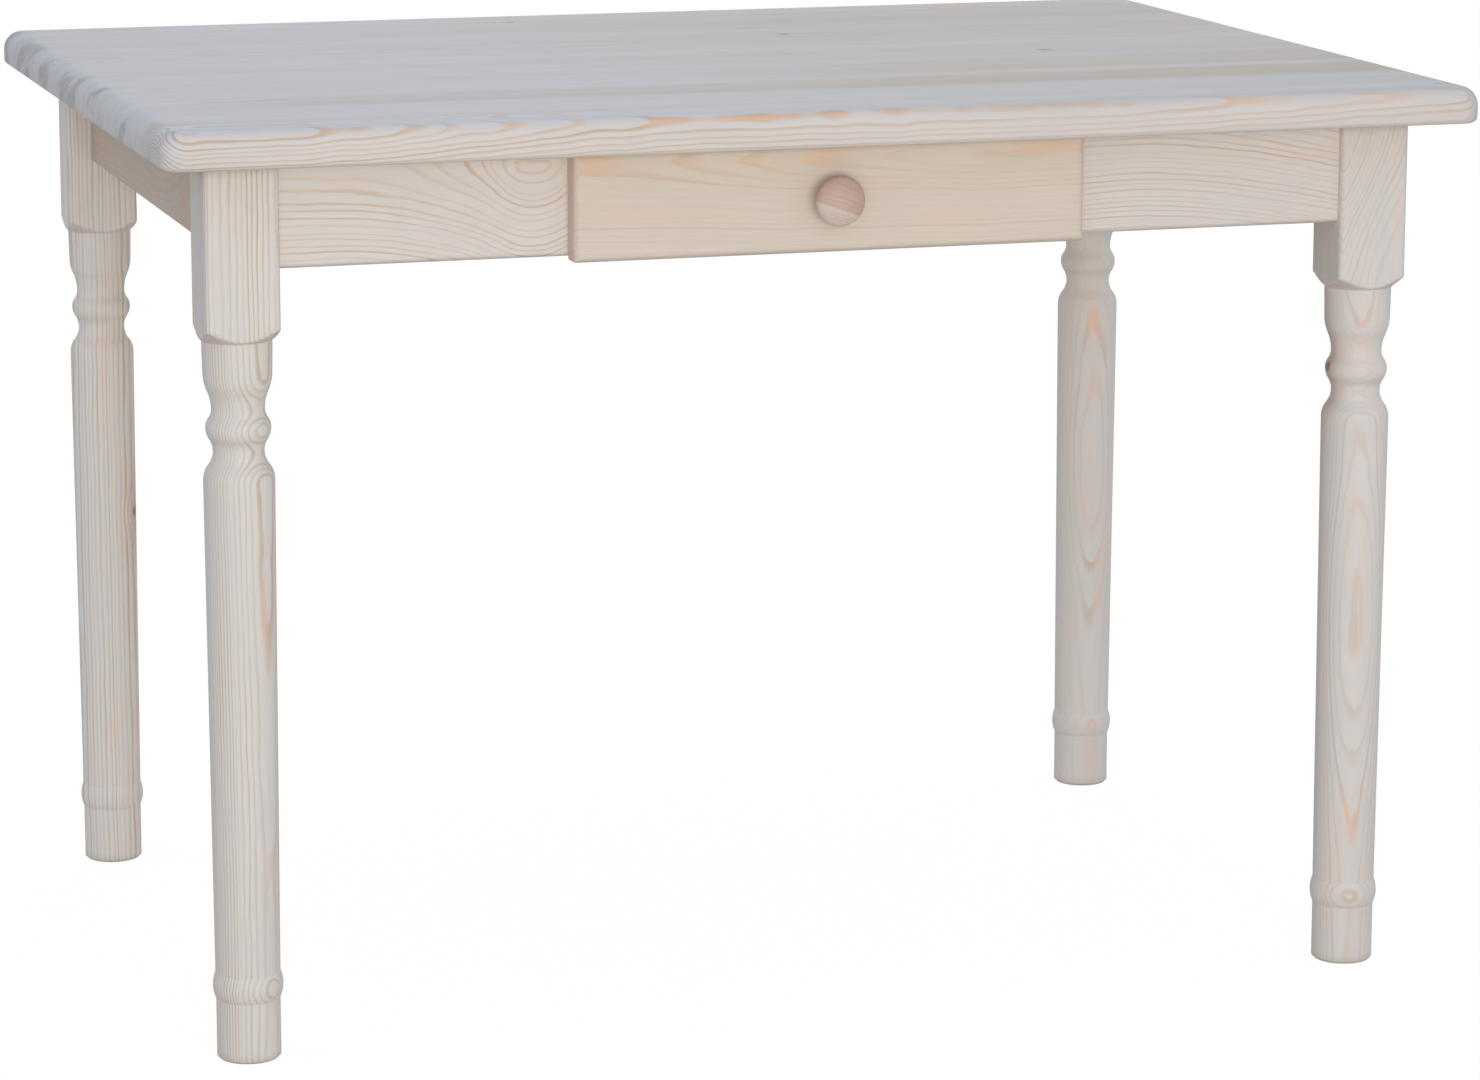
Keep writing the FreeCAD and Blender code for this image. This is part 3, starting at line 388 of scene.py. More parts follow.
class Value:
    """A number, vector or colour that changes over a surface. Arithmetic on values adds Math
    nodes, so that a pattern reads as a formula."""

    def __init__(self, recipe, socket):
        self.recipe = recipe
        self.socket = socket

    def math(self, operation, first, *others):
        inputs = dict(enumerate((first, *others)))
        return self.recipe.add("ShaderNodeMath", {"operation": operation}, inputs)

    def __add__(self, other):
        return self.math("ADD", self, other)

    def __radd__(self, other):
        return self.math("ADD", other, self)

    def __sub__(self, other):
        return self.math("SUBTRACT", self, other)

    def __rsub__(self, other):
        return self.math("SUBTRACT", other, self)

    def __mul__(self, other):
        return self.math("MULTIPLY", self, other)

    def __rmul__(self, other):
        return self.math("MULTIPLY", other, self)

    def __truediv__(self, other):
        return self.math("DIVIDE", self, other)

    def __rtruediv__(self, other):
        return self.math("DIVIDE", other, self)

    def __neg__(self):
        return self.math("MULTIPLY", self, -1)

    def root(self):
        return self.math("SQRT", self)

    def floor(self):
        return self.math("FLOOR", self)

    def fraction(self):
        return self.math("FRACT", self)

    def size(self):
        return self.math("ABSOLUTE", self)

    def below(self, limit):
        return self.math("LESS_THAN", self, limit)

    def larger(self, other):
        return self.math("MAXIMUM", self, other)

    def hump(self, middle, reach):
        """1 at the middle, falling off smoothly to both sides: exp(-((x - middle) / reach)2)."""
        share = (self - middle) / reach
        return self.math("EXPONENT", -(share * share))

    def step(self, low, high):
        """0 below low, 1 above high, smooth between."""
        return self.recipe.add("ShaderNodeMapRange", {"interpolation_type": "SMOOTHSTEP"},
                               {"Value": self, "From Min": low, "From Max": high})

    def band(self, low, start, end, high):
        """0 below low, 1 from start to end and 0 above high, smooth between."""
        return self.step(low, start) * (1 - self.step(end, high))


class Recipe:
    """The nodes of one material, or of the world."""

    FACTOR, FIRST, SECOND, MIXED = 0, 6, 7, 2
    NOISE_SHIFT = (3.7, 5.3, 7.9)

    def __init__(self, owner):
        owner.use_nodes = True
        self.owner = owner
        self.tree = owner.node_tree
        self.tree.nodes.clear()

    def add(self, kind, settings=None, inputs=None, output=0):
        """A node of a kind: its settings first, then the value or link of each socket."""
        node = self.tree.nodes.new(kind)
        for key, setting in (settings or {}).items():
            setattr(node, key, setting)
        for key, given in (inputs or {}).items():
            if isinstance(given, Value):
                self.tree.links.new(given.socket, node.inputs[key])
            else:
                node.inputs[key].default_value = given
        return Value(self, node.outputs[output]) if len(node.outputs) else node

    def coordinates(self, source, turn, scale):
        """One of Blender's texture coordinates as (x, y, z), turned about Z and scaled."""
        vector = self.add("ShaderNodeTexCoord", output=source)
        return self.parts(self.add("ShaderNodeMapping", None,
                                   {"Vector": vector, "Rotation": (0, 0, turn),
                                    "Scale": (scale,) * 3}))

    def place(self, turn=0.0):
        """Place on the object in millimetres."""
        return self.coordinates("Object", turn, 1 / MM)

    def facing(self, turn=0.0):
        """Which way the surface faces on the object."""
        return self.coordinates("Normal", turn, 1)

    def parts(self, vector):
        """The three numbers of a vector."""
        split = self.add("ShaderNodeSeparateXYZ", None, {"Vector": vector})
        return [Value(self, socket) for socket in split.socket.node.outputs]

    def noise(self, x, y, z, detail=2.0, shift=0.0):
        """Cloudy noise about 0, from -0.5 to 0.5, of a place given by three numbers. Each shift
        takes another part of the noise."""
        vector = self.add("ShaderNodeCombineXYZ", None, {"X": x, "Y": y, "Z": z})
        moved = self.add("ShaderNodeVectorMath", {"operation": "ADD"},
                         {0: vector, 1: [shift * part for part in self.NOISE_SHIFT]})
        return self.add("ShaderNodeTexNoise", None,
                        {"Vector": moved, "Scale": 1.0, "Detail": detail}) - 0.5

    def chance(self, number):
        """A random number from 0 to 1 for each whole number."""
        return self.add("ShaderNodeTexWhiteNoise", {"noise_dimensions": "1D"}, {"W": number})

    def mix(self, factor, first, second, how="MIX"):
        """Between two colours, first at 0 and second at 1."""
        return self.add("ShaderNodeMix", {"data_type": "RGBA", "blend_type": how},
                        {self.FACTOR: factor, self.FIRST: first, self.SECOND: second},
                        self.MIXED)

    def shaded(self, base, light):
        """A colour made lighter or darker by a factor."""
        grey = self.add("ShaderNodeCombineXYZ", None, {"X": light, "Y": light, "Z": light})
        return self.mix(1.0, base, grey, "MULTIPLY")

    def finish(self, base, roughness, height, relief, metallic=0.0, gloss=0.3):
        """The surface: base colour, roughness and a relief of so many millimetres."""
        bump = self.add("ShaderNodeBump", None,
                        {"Strength": 1.0, "Distance": relief * MM, "Height": height})
        shader = self.add("ShaderNodeBsdfPrincipled", None,
                          {"Base Color": base, "Roughness": roughness, "Metallic": metallic,
                           "Specular IOR Level": gloss, "Normal": bump})
        self.add("ShaderNodeOutputMaterial", None, {"Surface": shader})
        return self.owner


def material(name):
    """The recipe of a new material."""
    return Recipe(bpy.data.materials.new(name))


def solid(shade):
    """A property's colour as a node socket takes it."""
    return (*shade, 1.0)


# ---- wood -------------------------------------------------------------------------------------

KNOT_BROWN = paint(142, 96, 74)
KNOT_HALO = paint(196, 158, 140)
END_GRAIN = paint(224, 196, 182)
PINE_ROUGHNESS, TOP_ROUGHNESS, KNOB_ROUGHNESS = 0.62, 0.65, 0.5
LATE_POLISH, LATE_RIDGE = 0.1, 0.5
SWELL_RINGS = 2.0
VASE_HEIGHT, VASE_REACH = 530, 55


@dataclass
class Cut:
    """How a board lay in its log, in millimetres. The grain runs along one axis, and pith is the
    log's middle in the other two axes, in alphabetical order. ring is the width of a ring at the
    pith, and narrowing says how fast rings get narrower away from it. bends are places where the
    pith leaves its line: (place along the grain, reach, shift, shift) in those two axes. seed
    picks the random draws, and sway is how far the pith wanders. depth is how strong the rings
    are, faint the share of it that they lose round a leg's vase, and start the share of a year
    at which its late wood begins. warmth adds resin all over, patchy says how blotchy it is, and
    shade makes the board lighter or darker: partly its own tone, partly painted light and shade
    that lightens a board standing in shade and darkens one in fuller light. turn is its turn
    about Z. Each knot is (x, y, z, radius)."""
    grain: str
    pith: tuple
    ring: float
    bends: tuple = ()
    narrowing: float = 0.0
    seed: float = 1.0
    sway: float = 3.0
    depth: float = 1.0
    faint: float = 0.0
    start: float = 0.3
    warmth: float = 0.0
    patchy: float = 0.8
    shade: float = 1.0
    turn: float = 0.0
    knots: tuple = ()


def split_axes(axes, grain):
    """The coordinate along the grain, and the two others."""
    names = "XYZ"
    along = axes[names.index(grain)]
    return along, *(axis for name, axis in zip(names, axes) if name != grain)


def clouds(recipe, place, long, wide, detail, seed):
    """Cloudy noise about 0, so many millimetres long and wide along and across the grain."""
    along, first, second = place
    return recipe.noise(along / long, first / wide, second / wide, detail, seed)


def fibres(recipe, place, seed):
    """Fine fibres along the grain, about 0."""
    return clouds(recipe, place, 22, 0.9, 3.0, seed)


def ring_field(recipe, place, cut):
    """How many rings lie between the pith and a place, and the way out from the pith there. The
    count is the distance d from the pith's wandering line as d (1 + narrowing d) / ring, with
    some years wider than others and some unevenness along and across the rings."""
    wander_length, year_group = 170, 13
    unevenness, year_spread = 0.8, 2.2
    along, first, second = place
    shift_first = cut.sway * 2 * recipe.noise(along / wander_length, 0, 0, 1.0, cut.seed)
    shift_second = cut.sway * 2 * recipe.noise(along / wander_length, 3, 0, 1.0, cut.seed)
    for middle, reach, across, deep in cut.bends:
        hump = along.hump(middle, reach)
        shift_first = shift_first + across * hump
        shift_second = shift_second + deep * hump
    first_off = first - cut.pith[0] - shift_first
    second_off = second - cut.pith[1] - shift_second
    distance = (first_off * first_off + second_off * second_off).root()
    uneven = clouds(recipe, place, 60, 14, 2.0, cut.seed + 1)
    years = recipe.noise(distance / year_group, 0, 0, 1.0, cut.seed + 5)
    count = distance * (1 + cut.narrowing * distance) / cut.ring
    count = count + unevenness * uneven + year_spread * years
    return count, (first_off / distance, second_off / distance)


def late_wood(recipe, rings, seed, start):
    """1 in the hard wood at the end of each year: slow to come from its start in the year and
    quick to go, and stronger in some years than in others."""
    full, fading, weakest = 0.85, 0.9, 0.2
    strength = weakest + (1 - weakest) * recipe.chance(rings.floor() + seed)
    return rings.fraction().band(start, full, fading, 1.0) * strength


def knot_marks(axes, grain, knots):
    """1 in a knot, 0 outside; a softer hump that bends the rings round it; and a halo of
    resin, four times as long along the grain as across it."""
    heart_end, rim_end, swell_reach, halo_reach, halo_length = 0.5, 1.2, 2.6, 2.2, 4
    marks, swell, halo = 0, 0, 0
    for *middle, radius in knots:
        offsets = [axis - centre for axis, centre in zip(axes, middle)]
        far = sum(offset * offset for offset in offsets).root() / radius
        marks = marks + (1 - far.step(heart_end, rim_end))
        swell = swell + far.hump(0, swell_reach)
        along, first, second = split_axes(offsets, grain)
        stretched = along * along / halo_length ** 2 + first * first + second * second
        halo = halo + (stretched.root() / radius).hump(0, halo_reach)
    return marks, swell, halo


def how_cut(facing, out, grain):
    """1 where the surface faces straight out from the pith, so that the rings lie flat in it;
    and 1 where it cuts across the grain."""
    flat_from, across_from = 0.94, 0.4
    along, first, second = split_axes(facing, grain)
    outwards = (first * out[0] + second * out[1]).size()
    return outwards.step(flat_from, 1.0), along.size().step(across_from, 1.0)


def pine(name, cut, pale, line, heart):
    """Raw pine: late wood in rings over early wood, more orange where a ring lies flat in the
    surface and where resin has gathered, with fibres, soft blotches and knots, and painted shade
    that darkens it where it faces down."""
    recipe = material(name)
    axes = recipe.place(cut.turn)
    facing = recipe.facing(cut.turn)
    place = split_axes(axes, cut.grain)
    rings, out = ring_field(recipe, place, cut)
    marks, swell, halo = knot_marks(axes, cut.grain, cut.knots)
    if cut.knots:
        rings = rings + SWELL_RINGS * swell
    late = late_wood(recipe, rings, cut.seed, cut.start)
    patches = clouds(recipe, place, 90, 30, 2.0, cut.seed + 2)
    fibre = fibres(recipe, place, cut.seed + 3)
    warm = clouds(recipe, place, 130, 18, 2.0, cut.seed + 4)
    flat, cut_across = how_cut(facing, out, cut.grain)
    resin = (flat * (0.45 + 1.6 * warm) + 1.2 * warm + cut.warmth).step(-0.1, 1.0)
    depth = cut.depth
    if cut.faint:
        depth = cut.depth * (1 - cut.faint * place[0].hump(VASE_HEIGHT, VASE_REACH))
    strength = 1 + (depth - 1) * (1 - 0.8 * flat)
    lines = late * (0.62 + 0.25 * flat + 1.2 * patches) * strength
    base = recipe.mix(lines, solid(pale), recipe.mix(resin, solid(line), solid(heart)))
    base = recipe.mix((warm - 0.05) * cut.patchy + cut.warmth, base, solid(heart))
    base = recipe.mix(0.5 * cut_across, base, solid(END_GRAIN))
    if cut.knots:
        base = recipe.mix(halo * 0.7, base, solid(KNOT_HALO))
        base = recipe.mix(marks * 0.75, base, solid(KNOT_BROWN))
    # Painted shade: the colour is darkened where the surface faces down.
    under = (-facing[2]).step(0.2, 0.8)
    # cut.shade is partly the board's own tone and partly painted light and shade.
    base = recipe.shaded(base, cut.shade + 0.12 * fibre + 0.10 * patches - 0.16 * under)
    return recipe.finish(base, PINE_ROUGHNESS - LATE_POLISH * late, fibre + LATE_RIDGE * late,
                         relief=0.06)


def knob_pine(colours):
    """The knob's wood: pinkish heartwood above a slanting seam, paler sapwood below it."""
    recipe = material("pine_turned_knob")
    x, y, z = recipe.place()
    rings, _ = ring_field(recipe, (y, x, z), KNOB_CUT)
    late = late_wood(recipe, rings, KNOB_CUT.seed, KNOB_CUT.start)
    fibre = fibres(recipe, (z + x, x - z, y), KNOB_CUT.seed)
    seam = z - KNOB_SEAM[0] - KNOB_SEAM[1] * x + 2 * recipe.noise(x / 6, y / 6, z / 6)
    base = recipe.mix(seam.step(-1.0, 1.5), solid(colours.knob_sap), solid(colours.knob))
    base = recipe.mix(late * KNOB_CUT.depth, base, recipe.shaded(base, 0.74))
    return recipe.finish(recipe.shaded(base, 1 + 0.25 * fibre),
                         KNOB_ROUGHNESS - LATE_POLISH * late, fibre + LATE_RIDGE * late,
                         relief=0.05)


# ---- glued top --------------------------------------------------------------------------------

# The front stave's pith lies so far behind the front edge and so high, and rises by so much
# from one x to another. A streak gives the places in y where it starts, is full, begins to fade
# and ends, and the third gives its middle and reach. The other pairs give where a change starts
# and where it is full. The skins give how deep under the face or the ends a change begins.
STAVE_WIDTH = 100.0
STAVE_RING, FRONT_RING = 2.3, 2.8
PITH_HEIGHT, PITH_SPREAD = 742, (120, 170)
FRONT_PITH = (38, 696)
FRONT_RISES = ((19.1, -480, -120), (9, 190, 560))
TOP_SEED, TOP_LATE_START = 7.0, 0.45
FIRST_STREAK, FIRST_START, FIRST_SWELL = (-264, -244, -206, -184), (-500, -380), (0, 400)
SECOND_STREAK, SECOND_START = (-176, -160, -145, -70), (-120, 180)
THIRD_STREAK = (256, 30)
WARM_HALF = (-330, 200)
FRONT_BOARDS, BACK_BOARDS = (-262, -244), (80, 130)
FACE_SKIN, END_SKIN, NEAR_END = 4, (20, 12), (70, 50)
TOP_KNOTS = ((122, 160, 760, 7), (302, -27, 760, 8), (-90, 330, 760, 5))


def stave_rings(recipe, place, front):
    """Ring count in each stave, the way out from its pith, the stave's number from the front,
    and 1 in the front stave. Each pith lies at random across and below its stave. The front
    stave's lies low behind the front edge, so that its rings curve over the edge, and rises in
    two stretches, where its rings run out at the edge in long loops."""
    x, y, z = place
    number = ((y - front) / STAVE_WIDTH).floor()
    foremost = number.below(0.5)
    middle = (number + 0.5) * STAVE_WIDTH + front
    pith_y = middle + (recipe.chance(number + 0.37) - 0.5) * PITH_SPREAD[0]
    pith_y = pith_y + 30 * recipe.noise(x / 300, number * 7.3, 0, 1.0)
    pith_z = PITH_HEIGHT + (recipe.chance(number + 20.37) - 0.5) * PITH_SPREAD[1]
    pith_z = pith_z + 20 * recipe.noise(x / 260, number * 5.1, 4, 1.0)
    front_z = FRONT_PITH[1]
    for rise, start, end in FRONT_RISES:
        front_z = front_z + rise * x.step(start, end)
    front_z = front_z + 5 * recipe.noise(x / 50, 9, 0, 1.0)
    off_y = y - pith_y - foremost * (front + FRONT_PITH[0] - pith_y)
    off_z = z - pith_z - foremost * (front_z - pith_z)
    distance = (off_y * off_y + off_z * off_z).root()
    ring = STAVE_RING + (FRONT_RING - STAVE_RING) * foremost
    uneven = clouds(recipe, place, 70, 14, 2.0, 5.0)
    count = distance / ring + 0.7 * uneven + 1.6 * recipe.noise(distance / 13, number, 0, 1.0)
    return count, (off_y / distance, off_z / distance), number, foremost


def warm_streaks(recipe, x, y, patches):
    """Streaks of warmer wood along the panel: one that starts near its left end, a second that
    fades in along its middle, and a faint one near the back."""
    waver = 9 * recipe.noise(x / 90, y / 60, 0, 1.0, 10.0)
    first = (y + 0.02 * x + waver).step(*FIRST_STREAK[:2])
    first = first * (1 - (y + waver).step(*FIRST_STREAK[2:]))
    first = first * x.step(*FIRST_START) * (0.5 + 0.15 * x.step(*FIRST_SWELL))
    second = 0.45 * (y + waver).band(*SECOND_STREAK) * x.step(*SECOND_START)
    third = 0.12 * y.hump(*THIRD_STREAK)
    return (first + second) * (1 + 1.5 * patches) + third


def stave_pine(colours):
    """The glued top: lengthwise staves, each cut from its log in its own way, with streaks of
    warmer wood along the panel. Its rings are strongest along the front and back edges, and its
    ends are darker in bands where they cut across the rings."""
    recipe = material("pine_top_staves")
    place = x, y, z = recipe.place()
    low, high, _ = node_box("table_top", MM)
    rings, out, number, foremost = stave_rings(recipe, place, low[1])
    late = late_wood(recipe, rings, TOP_SEED, TOP_LATE_START)
    patches = clouds(recipe, place, 120, 26, 2.0, 6.0)
    fibre = fibres(recipe, place, 8.0)
    flat, _ = how_cut(recipe.facing(), out, "X")

    # The upper face, the two ends, the front stave near the ends, and the long edges.
    face = (z - high[2]).step(-FACE_SKIN, 0)
    end = (x.size() - high[0] + END_SKIN[0]).step(0, END_SKIN[1])
    near_end = foremost * (x.size() - high[0] + NEAR_END[0]).step(0, NEAR_END[1])
    edge = (1 - face) * (1 - end)

    # Ring lines over early wood, stronger in the edges than in the face.
    late_colour = recipe.mix((0.15 + flat * 0.6 + 0.8 * patches) * (1 - 0.7 * face),
                             solid(colours.line), solid(colours.heart))
    late_colour = recipe.mix(0.55 * face, late_colour, solid(colours.top_warm))
    lines = 1.4 + 0.3 * flat + 1.8 * patches + 0.6 * near_end
    lines = late * (lines - 0.4 * foremost * x.step(-60, 100))
    lines = lines * (1 - 0.35 * face) * (1 - 0.6 * end * (1 - foremost))
    # The upper face takes top_pale, a cooler grey that is partly painted cool light from above; the
    # edges take edge_pale.
    base = recipe.mix(edge, solid(colours.top_pale), solid(colours.edge_pale))
    base = recipe.mix(lines, base, late_colour)

    # A face that grows warmer to the right, its streaks and its knots.
    tone = 0.2 + 0.18 * y.step(*FRONT_BOARDS) + 0.14 * y.step(*BACK_BOARDS)
    tone = tone * x.step(*WARM_HALF) + (recipe.chance(number + 40.37) - 0.5) * 0.1
    streaks = recipe.noise(x / 1300, y / 30, 0, 3.0, 9.0)
    warm = warm_streaks(recipe, x, y, patches) + tone + 0.6 * streaks
    base = recipe.mix(warm * (1 - 0.85 * edge), base, solid(colours.top_warm))
    marks, _, _ = knot_marks(place, "X", TOP_KNOTS)
    base = recipe.mix(marks * 0.45, base, solid(KNOT_BROWN))

    # Dark bands in the ends, and the last light and dark of fibres and blotches.
    bands = recipe.noise(x / 60, y / 38 + z / 40, z / 40, 2.0, 12.0)
    dark = 0.24 * end * bands.step(0.0, 0.15) * (1 - 0.5 * foremost)
    light = 1 + 0.05 * fibre + 0.10 * patches - 0.14 * streaks - dark - 0.02 * y.step(70, 130)
    return recipe.finish(recipe.shaded(base, light), TOP_ROUGHNESS - LATE_POLISH * late,
                         fibre + LATE_RIDGE * late, relief=0.05, gloss=0.12)


# ---- metal and dowels -------------------------------------------------------------------------

ZINC_ROUGHNESS, ZINC_CLOUDING, BEECH_ROUGHNESS = 0.36, 0.25, 0.55


def zinc_plate(colours):
    """Zinc plating: bright, with faint cloudy patches and fine pits."""
    recipe = material("zinc_plate")
    x, y, z = recipe.place()
    cloud = recipe.noise(x / 3, y / 3, z / 3, 3.0)
    dull = np.array(colours.zinc) * 0.75
    base = recipe.mix(0.5 + cloud, solid(colours.zinc), solid(dull))
    return recipe.finish(base, ZINC_ROUGHNESS + ZINC_CLOUDING * cloud, cloud, relief=0.02,
                         metallic=1.0, gloss=0.5)


def beech(colours):
    """Beech dowels: pinkish brown with short dark flecks along the grain."""
    recipe = material("beech_wood")
    x, y, z = recipe.place()
    fleck = recipe.noise(x / 0.7, y / 3.5, z / 0.7, 2.0)
    dark = np.array(colours.beech) * 0.7
    base = recipe.mix(fleck.step(0.12, 0.3), solid(colours.beech), solid(dark))
    return recipe.finish(base, BEECH_ROUGHNESS, fleck, relief=0.04)


def dress(node, finish):
    """Gives a CAD node its material."""
    for material_slot in frame["nodes"][node].material_slots:
        material_slot.material = finish


# ---- how each piece was cut -------------------------------------------------------------------

# Each board's shade is partly its own tone and partly painted light and shade: the back legs are
# painted lighter where they stand in shade, and the front right leg a little darker.
LEG_CUTS = {
    "leg_front_left": Cut(
        "Z", (-568.5, -193), 2.4, seed=11, sway=1.6, depth=1.4, start=0.42, warmth=-0.12),
    "leg_front_right": Cut(
        "Z", (492, -253), 2.3, ((300, 130, 0, 8), (740, 105, 60, 0)), seed=12, sway=1.0,
        depth=0.95, faint=0.65, start=0.55, warmth=0.05, shade=0.98, knots=((451.5, -313, 518, 5),)),
    "leg_back_right": Cut(
        "Z", (478, 368), 2.8, ((330, 150, 6, 9), (640, 130, 20, 0)), seed=13, sway=1.5,
        depth=0.5, start=0.5, warmth=0.08, shade=1.1),
    "leg_back_left": Cut(
        "Z", (-620, 330), 4.0, seed=14, sway=1.6, depth=1.8, start=0.36, shade=1.15,
        knots=((-454.5, 300, 327, 5),)),
}
# The left apron's shade of 0.82 is partly painted shade for the side that faces away from the light.
APRON_CUTS = {
    "front_apron": Cut(
        "X", (-290, 738), 7.6, ((-243, 29, -24, -7), (-240, 88, -21, -17), (260, 260, 8, 55)),
        narrowing=0.0038, seed=21, sway=0.6, depth=1.5, start=0.56),
    "back_apron": Cut("X", (370, 700), 4.0, seed=22),
    "left_apron": Cut(
        "Y", (-440, 700), 3.4, ((-250, 90, 10, 50),), seed=23, depth=2.4, warmth=0.40, shade=0.82),
    "right_apron": Cut("Y", (430, 690), 3.6, seed=24),
}
FRONT_CUT = Cut("X", (-325, 718), 4.6, ((200, 260, -24, 0),), seed=31, sway=4.0, depth=0.8,
                start=0.45, warmth=0.04, patchy=1.3)
KNOB_CUT = Cut("Y", (-45, 560), 1.9, seed=32, depth=0.9)
KNOB_SEAM = (677, -0.36)
INSIDE_RING, INSIDE_PITH, INSIDE_SEED = 3.2, 35, 41
INSIDE_GRAIN = {
    "Y": ("top_cleat_left", "top_cleat_right", "drawer_runner_left", "drawer_runner_right",
          "drawer_guide_left", "drawer_guide_right", "drawer_side_left", "drawer_side_right"),
    "X": ("drawer_stop", "drawer_back", "drawer_bottom"),
}
BLOCK_TURNS = {
    "corner_block_front_left": 1, "corner_block_front_right": -1,
    "corner_block_back_right": 1, "corner_block_back_left": -1,
}


# ---- operators --------------------------------------------------------------------------------


class TAVERN_TABLE_OT_top(Operator):
    """Make the table top and its pine"""
    bl_idname = "tavern_table.top"
    bl_label = "Table Top"

    def execute(self, context):
        piece = table_top(context.scene.tavern_sizes)
        piece.data.materials.append(stave_pine(context.scene.tavern_colours))
        stand_for(piece, "table_top")
        return {"FINISHED"}


class TAVERN_TABLE_OT_legs(Operator):
    """Make the four turned legs"""
    bl_idname = "tavern_table.legs"
    bl_label = "Legs"

    def execute(self, context):
        colours = context.scene.tavern_colours
        for name, cut in LEG_CUTS.items():
            piece = leg(name, context.scene.tavern_sizes)
            wood = pine("pine_" + name, cut, colours.pale, colours.line, colours.heart)
            piece.data.materials.append(wood)
            stand_for(piece, name)
        return {"FINISHED"}


class TAVERN_TABLE_OT_aprons(Operator):
    """Give the four apron boards their pine"""
    bl_idname = "tavern_table.aprons"
    bl_label = "Aprons"

    def execute(self, context):
        colours = context.scene.tavern_colours
        for name, cut in APRON_CUTS.items():
            dress(name, pine("pine_" + name, cut, colours.pale, colours.apron_line,
                             colours.amber))
        return {"FINISHED"}


class TAVERN_TABLE_OT_drawer_front(Operator):
    """Make the drawer front"""
    bl_idname = "tavern_table.drawer_front"
    bl_label = "Drawer Front"

    def execute(self, context):
        colours = context.scene.tavern_colours
        piece = drawer_front(context.scene.tavern_sizes)
        wood = pine("pine_drawer_front", FRONT_CUT, colours.drawer_pale, colours.apron_line,
                    colours.amber)
        piece.data.materials.append(wood)
        stand_for(piece, "drawer_front")
        return {"FINISHED"}


class TAVERN_TABLE_OT_knob(Operator):
    """Make the turned knob"""
    bl_idname = "tavern_table.knob"
    bl_label = "Knob"

    def execute(self, context):
        piece = knob(context.scene.tavern_sizes)
        piece.data.materials.append(knob_pine(context.scene.tavern_colours))
        stand_for(piece, "drawer_knob")
        return {"FINISHED"}


class TAVERN_TABLE_OT_inside(Operator):
    """Give the wood inside the table its pine: blocks, cleats, runners, guides and drawer box"""
    bl_idname = "tavern_table.inside"
    bl_label = "Inside Wood"

    def execute(self, context):
        colours = context.scene.tavern_colours
        shades = colours.inside_pale, colours.inside_line, colours.heart
        names = [(name, grain, 0) for grain, group in INSIDE_GRAIN.items() for name in group]
        names += [(name, "X", turn * QUARTER / 2) for name, turn in BLOCK_TURNS.items()]
        for seed, (name, grain, turn) in enumerate(names, INSIDE_SEED):
            _, _, middle = node_box(name, MM)
            _, *pith = split_axes(middle + INSIDE_PITH, grain)
            cut = Cut(grain, pith, INSIDE_RING, seed=seed, turn=turn)
            dress(name, pine("pine_" + name, cut, *shades))
        return {"FINISHED"}


class TAVERN_TABLE_OT_fastenings(Operator):
    """Give the screws, bolts, washers, nuts, pins and dowels their finishes"""
    bl_idname = "tavern_table.fastenings"
    bl_label = "Fastenings"

    def execute(self, context):
        colours = context.scene.tavern_colours
        finishes = {"steel": zinc_plate(colours), "beech_dowel": beech(colours)}
        for name, slot in SLOT_OF.items():
            if slot in finishes:
                dress(name, finishes[slot])
        return {"FINISHED"}


# ---- stage ------------------------------------------------------------------------------------

PICTURE_WIDTH, PICTURE_HEIGHT = 1480, 1080
FOCAL_PIXELS = 4914.5
AXIS_PIXEL = (740.3, 439.6)
SENSOR = 36.0
CAMERA_PLACE = (-1.2227, -4.0636, 1.2268)
CAMERA_YAW, CAMERA_PITCH, CAMERA_ROLL = (math.radians(angle) for angle in (17.156, 10.73, 0.089))
LAMP_SIZE, LAMP_AIM = 2.4, (0, 0, 0.4)
KEY_PLACE, KEY_TINT = (-0.6, -4.2, 0.4), (1.0, 0.95, 0.88)
BACK_PLACE, BACK_TINT = (1.2, 4.2, 1.6), (1.0, 0.88, 0.76)
SKY_TINT, WHITE = (0.74, 0.85, 1.0), (1, 1, 1)
FLOOR_SIDE, FLOOR_WHITE, FLOOR_GLOW = 30.0, 0.92, 1.05


def add_camera():
    """A camera with the lens, tilt and shift of a portrait lens close to the table."""
    data = bpy.data.cameras.new("studio_camera")
    data.sensor_width = SENSOR
    data.lens = FOCAL_PIXELS / PICTURE_WIDTH * SENSOR
    data.shift_x = (PICTURE_WIDTH / 2 - AXIS_PIXEL[0]) / PICTURE_WIDTH
    data.shift_y = (AXIS_PIXEL[1] - PICTURE_HEIGHT / 2) / PICTURE_WIDTH
    camera = linked("studio_camera", data)
    camera.matrix_world = (Matrix.Translation(CAMERA_PLACE) @ Matrix.Rotation(-CAMERA_YAW, 4, "Z")
                           @ Matrix.Rotation(QUARTER - CAMERA_PITCH, 4, "X")
                           @ Matrix.Rotation(CAMERA_ROLL, 4, "Z"))
    bpy.context.scene.camera = camera


def add_softbox(name, place, power, tint):
    """A large square lamp at a place, turned to the table."""
    data = bpy.data.lights.new(name, "AREA")
    data.size = LAMP_SIZE
    data.energy = power
    data.color = tint
    lamp = linked(name, data)
    lamp.location = place
    lamp.rotation_euler = (Vector(LAMP_AIM) - Vector(place)).to_track_quat("-Z", "Y").to_euler()


def seen_directly(recipe):
    """1 for rays from the camera, and for those that metal or glass sends on."""
    path = recipe.add("ShaderNodeLightPath").socket.node.outputs
    camera, glossy, sent_through = (
        Value(recipe, path[name])
        for name in ("Is Camera Ray", "Is Glossy Ray", "Is Transmission Ray"))
    return camera.larger(glossy).larger(sent_through)


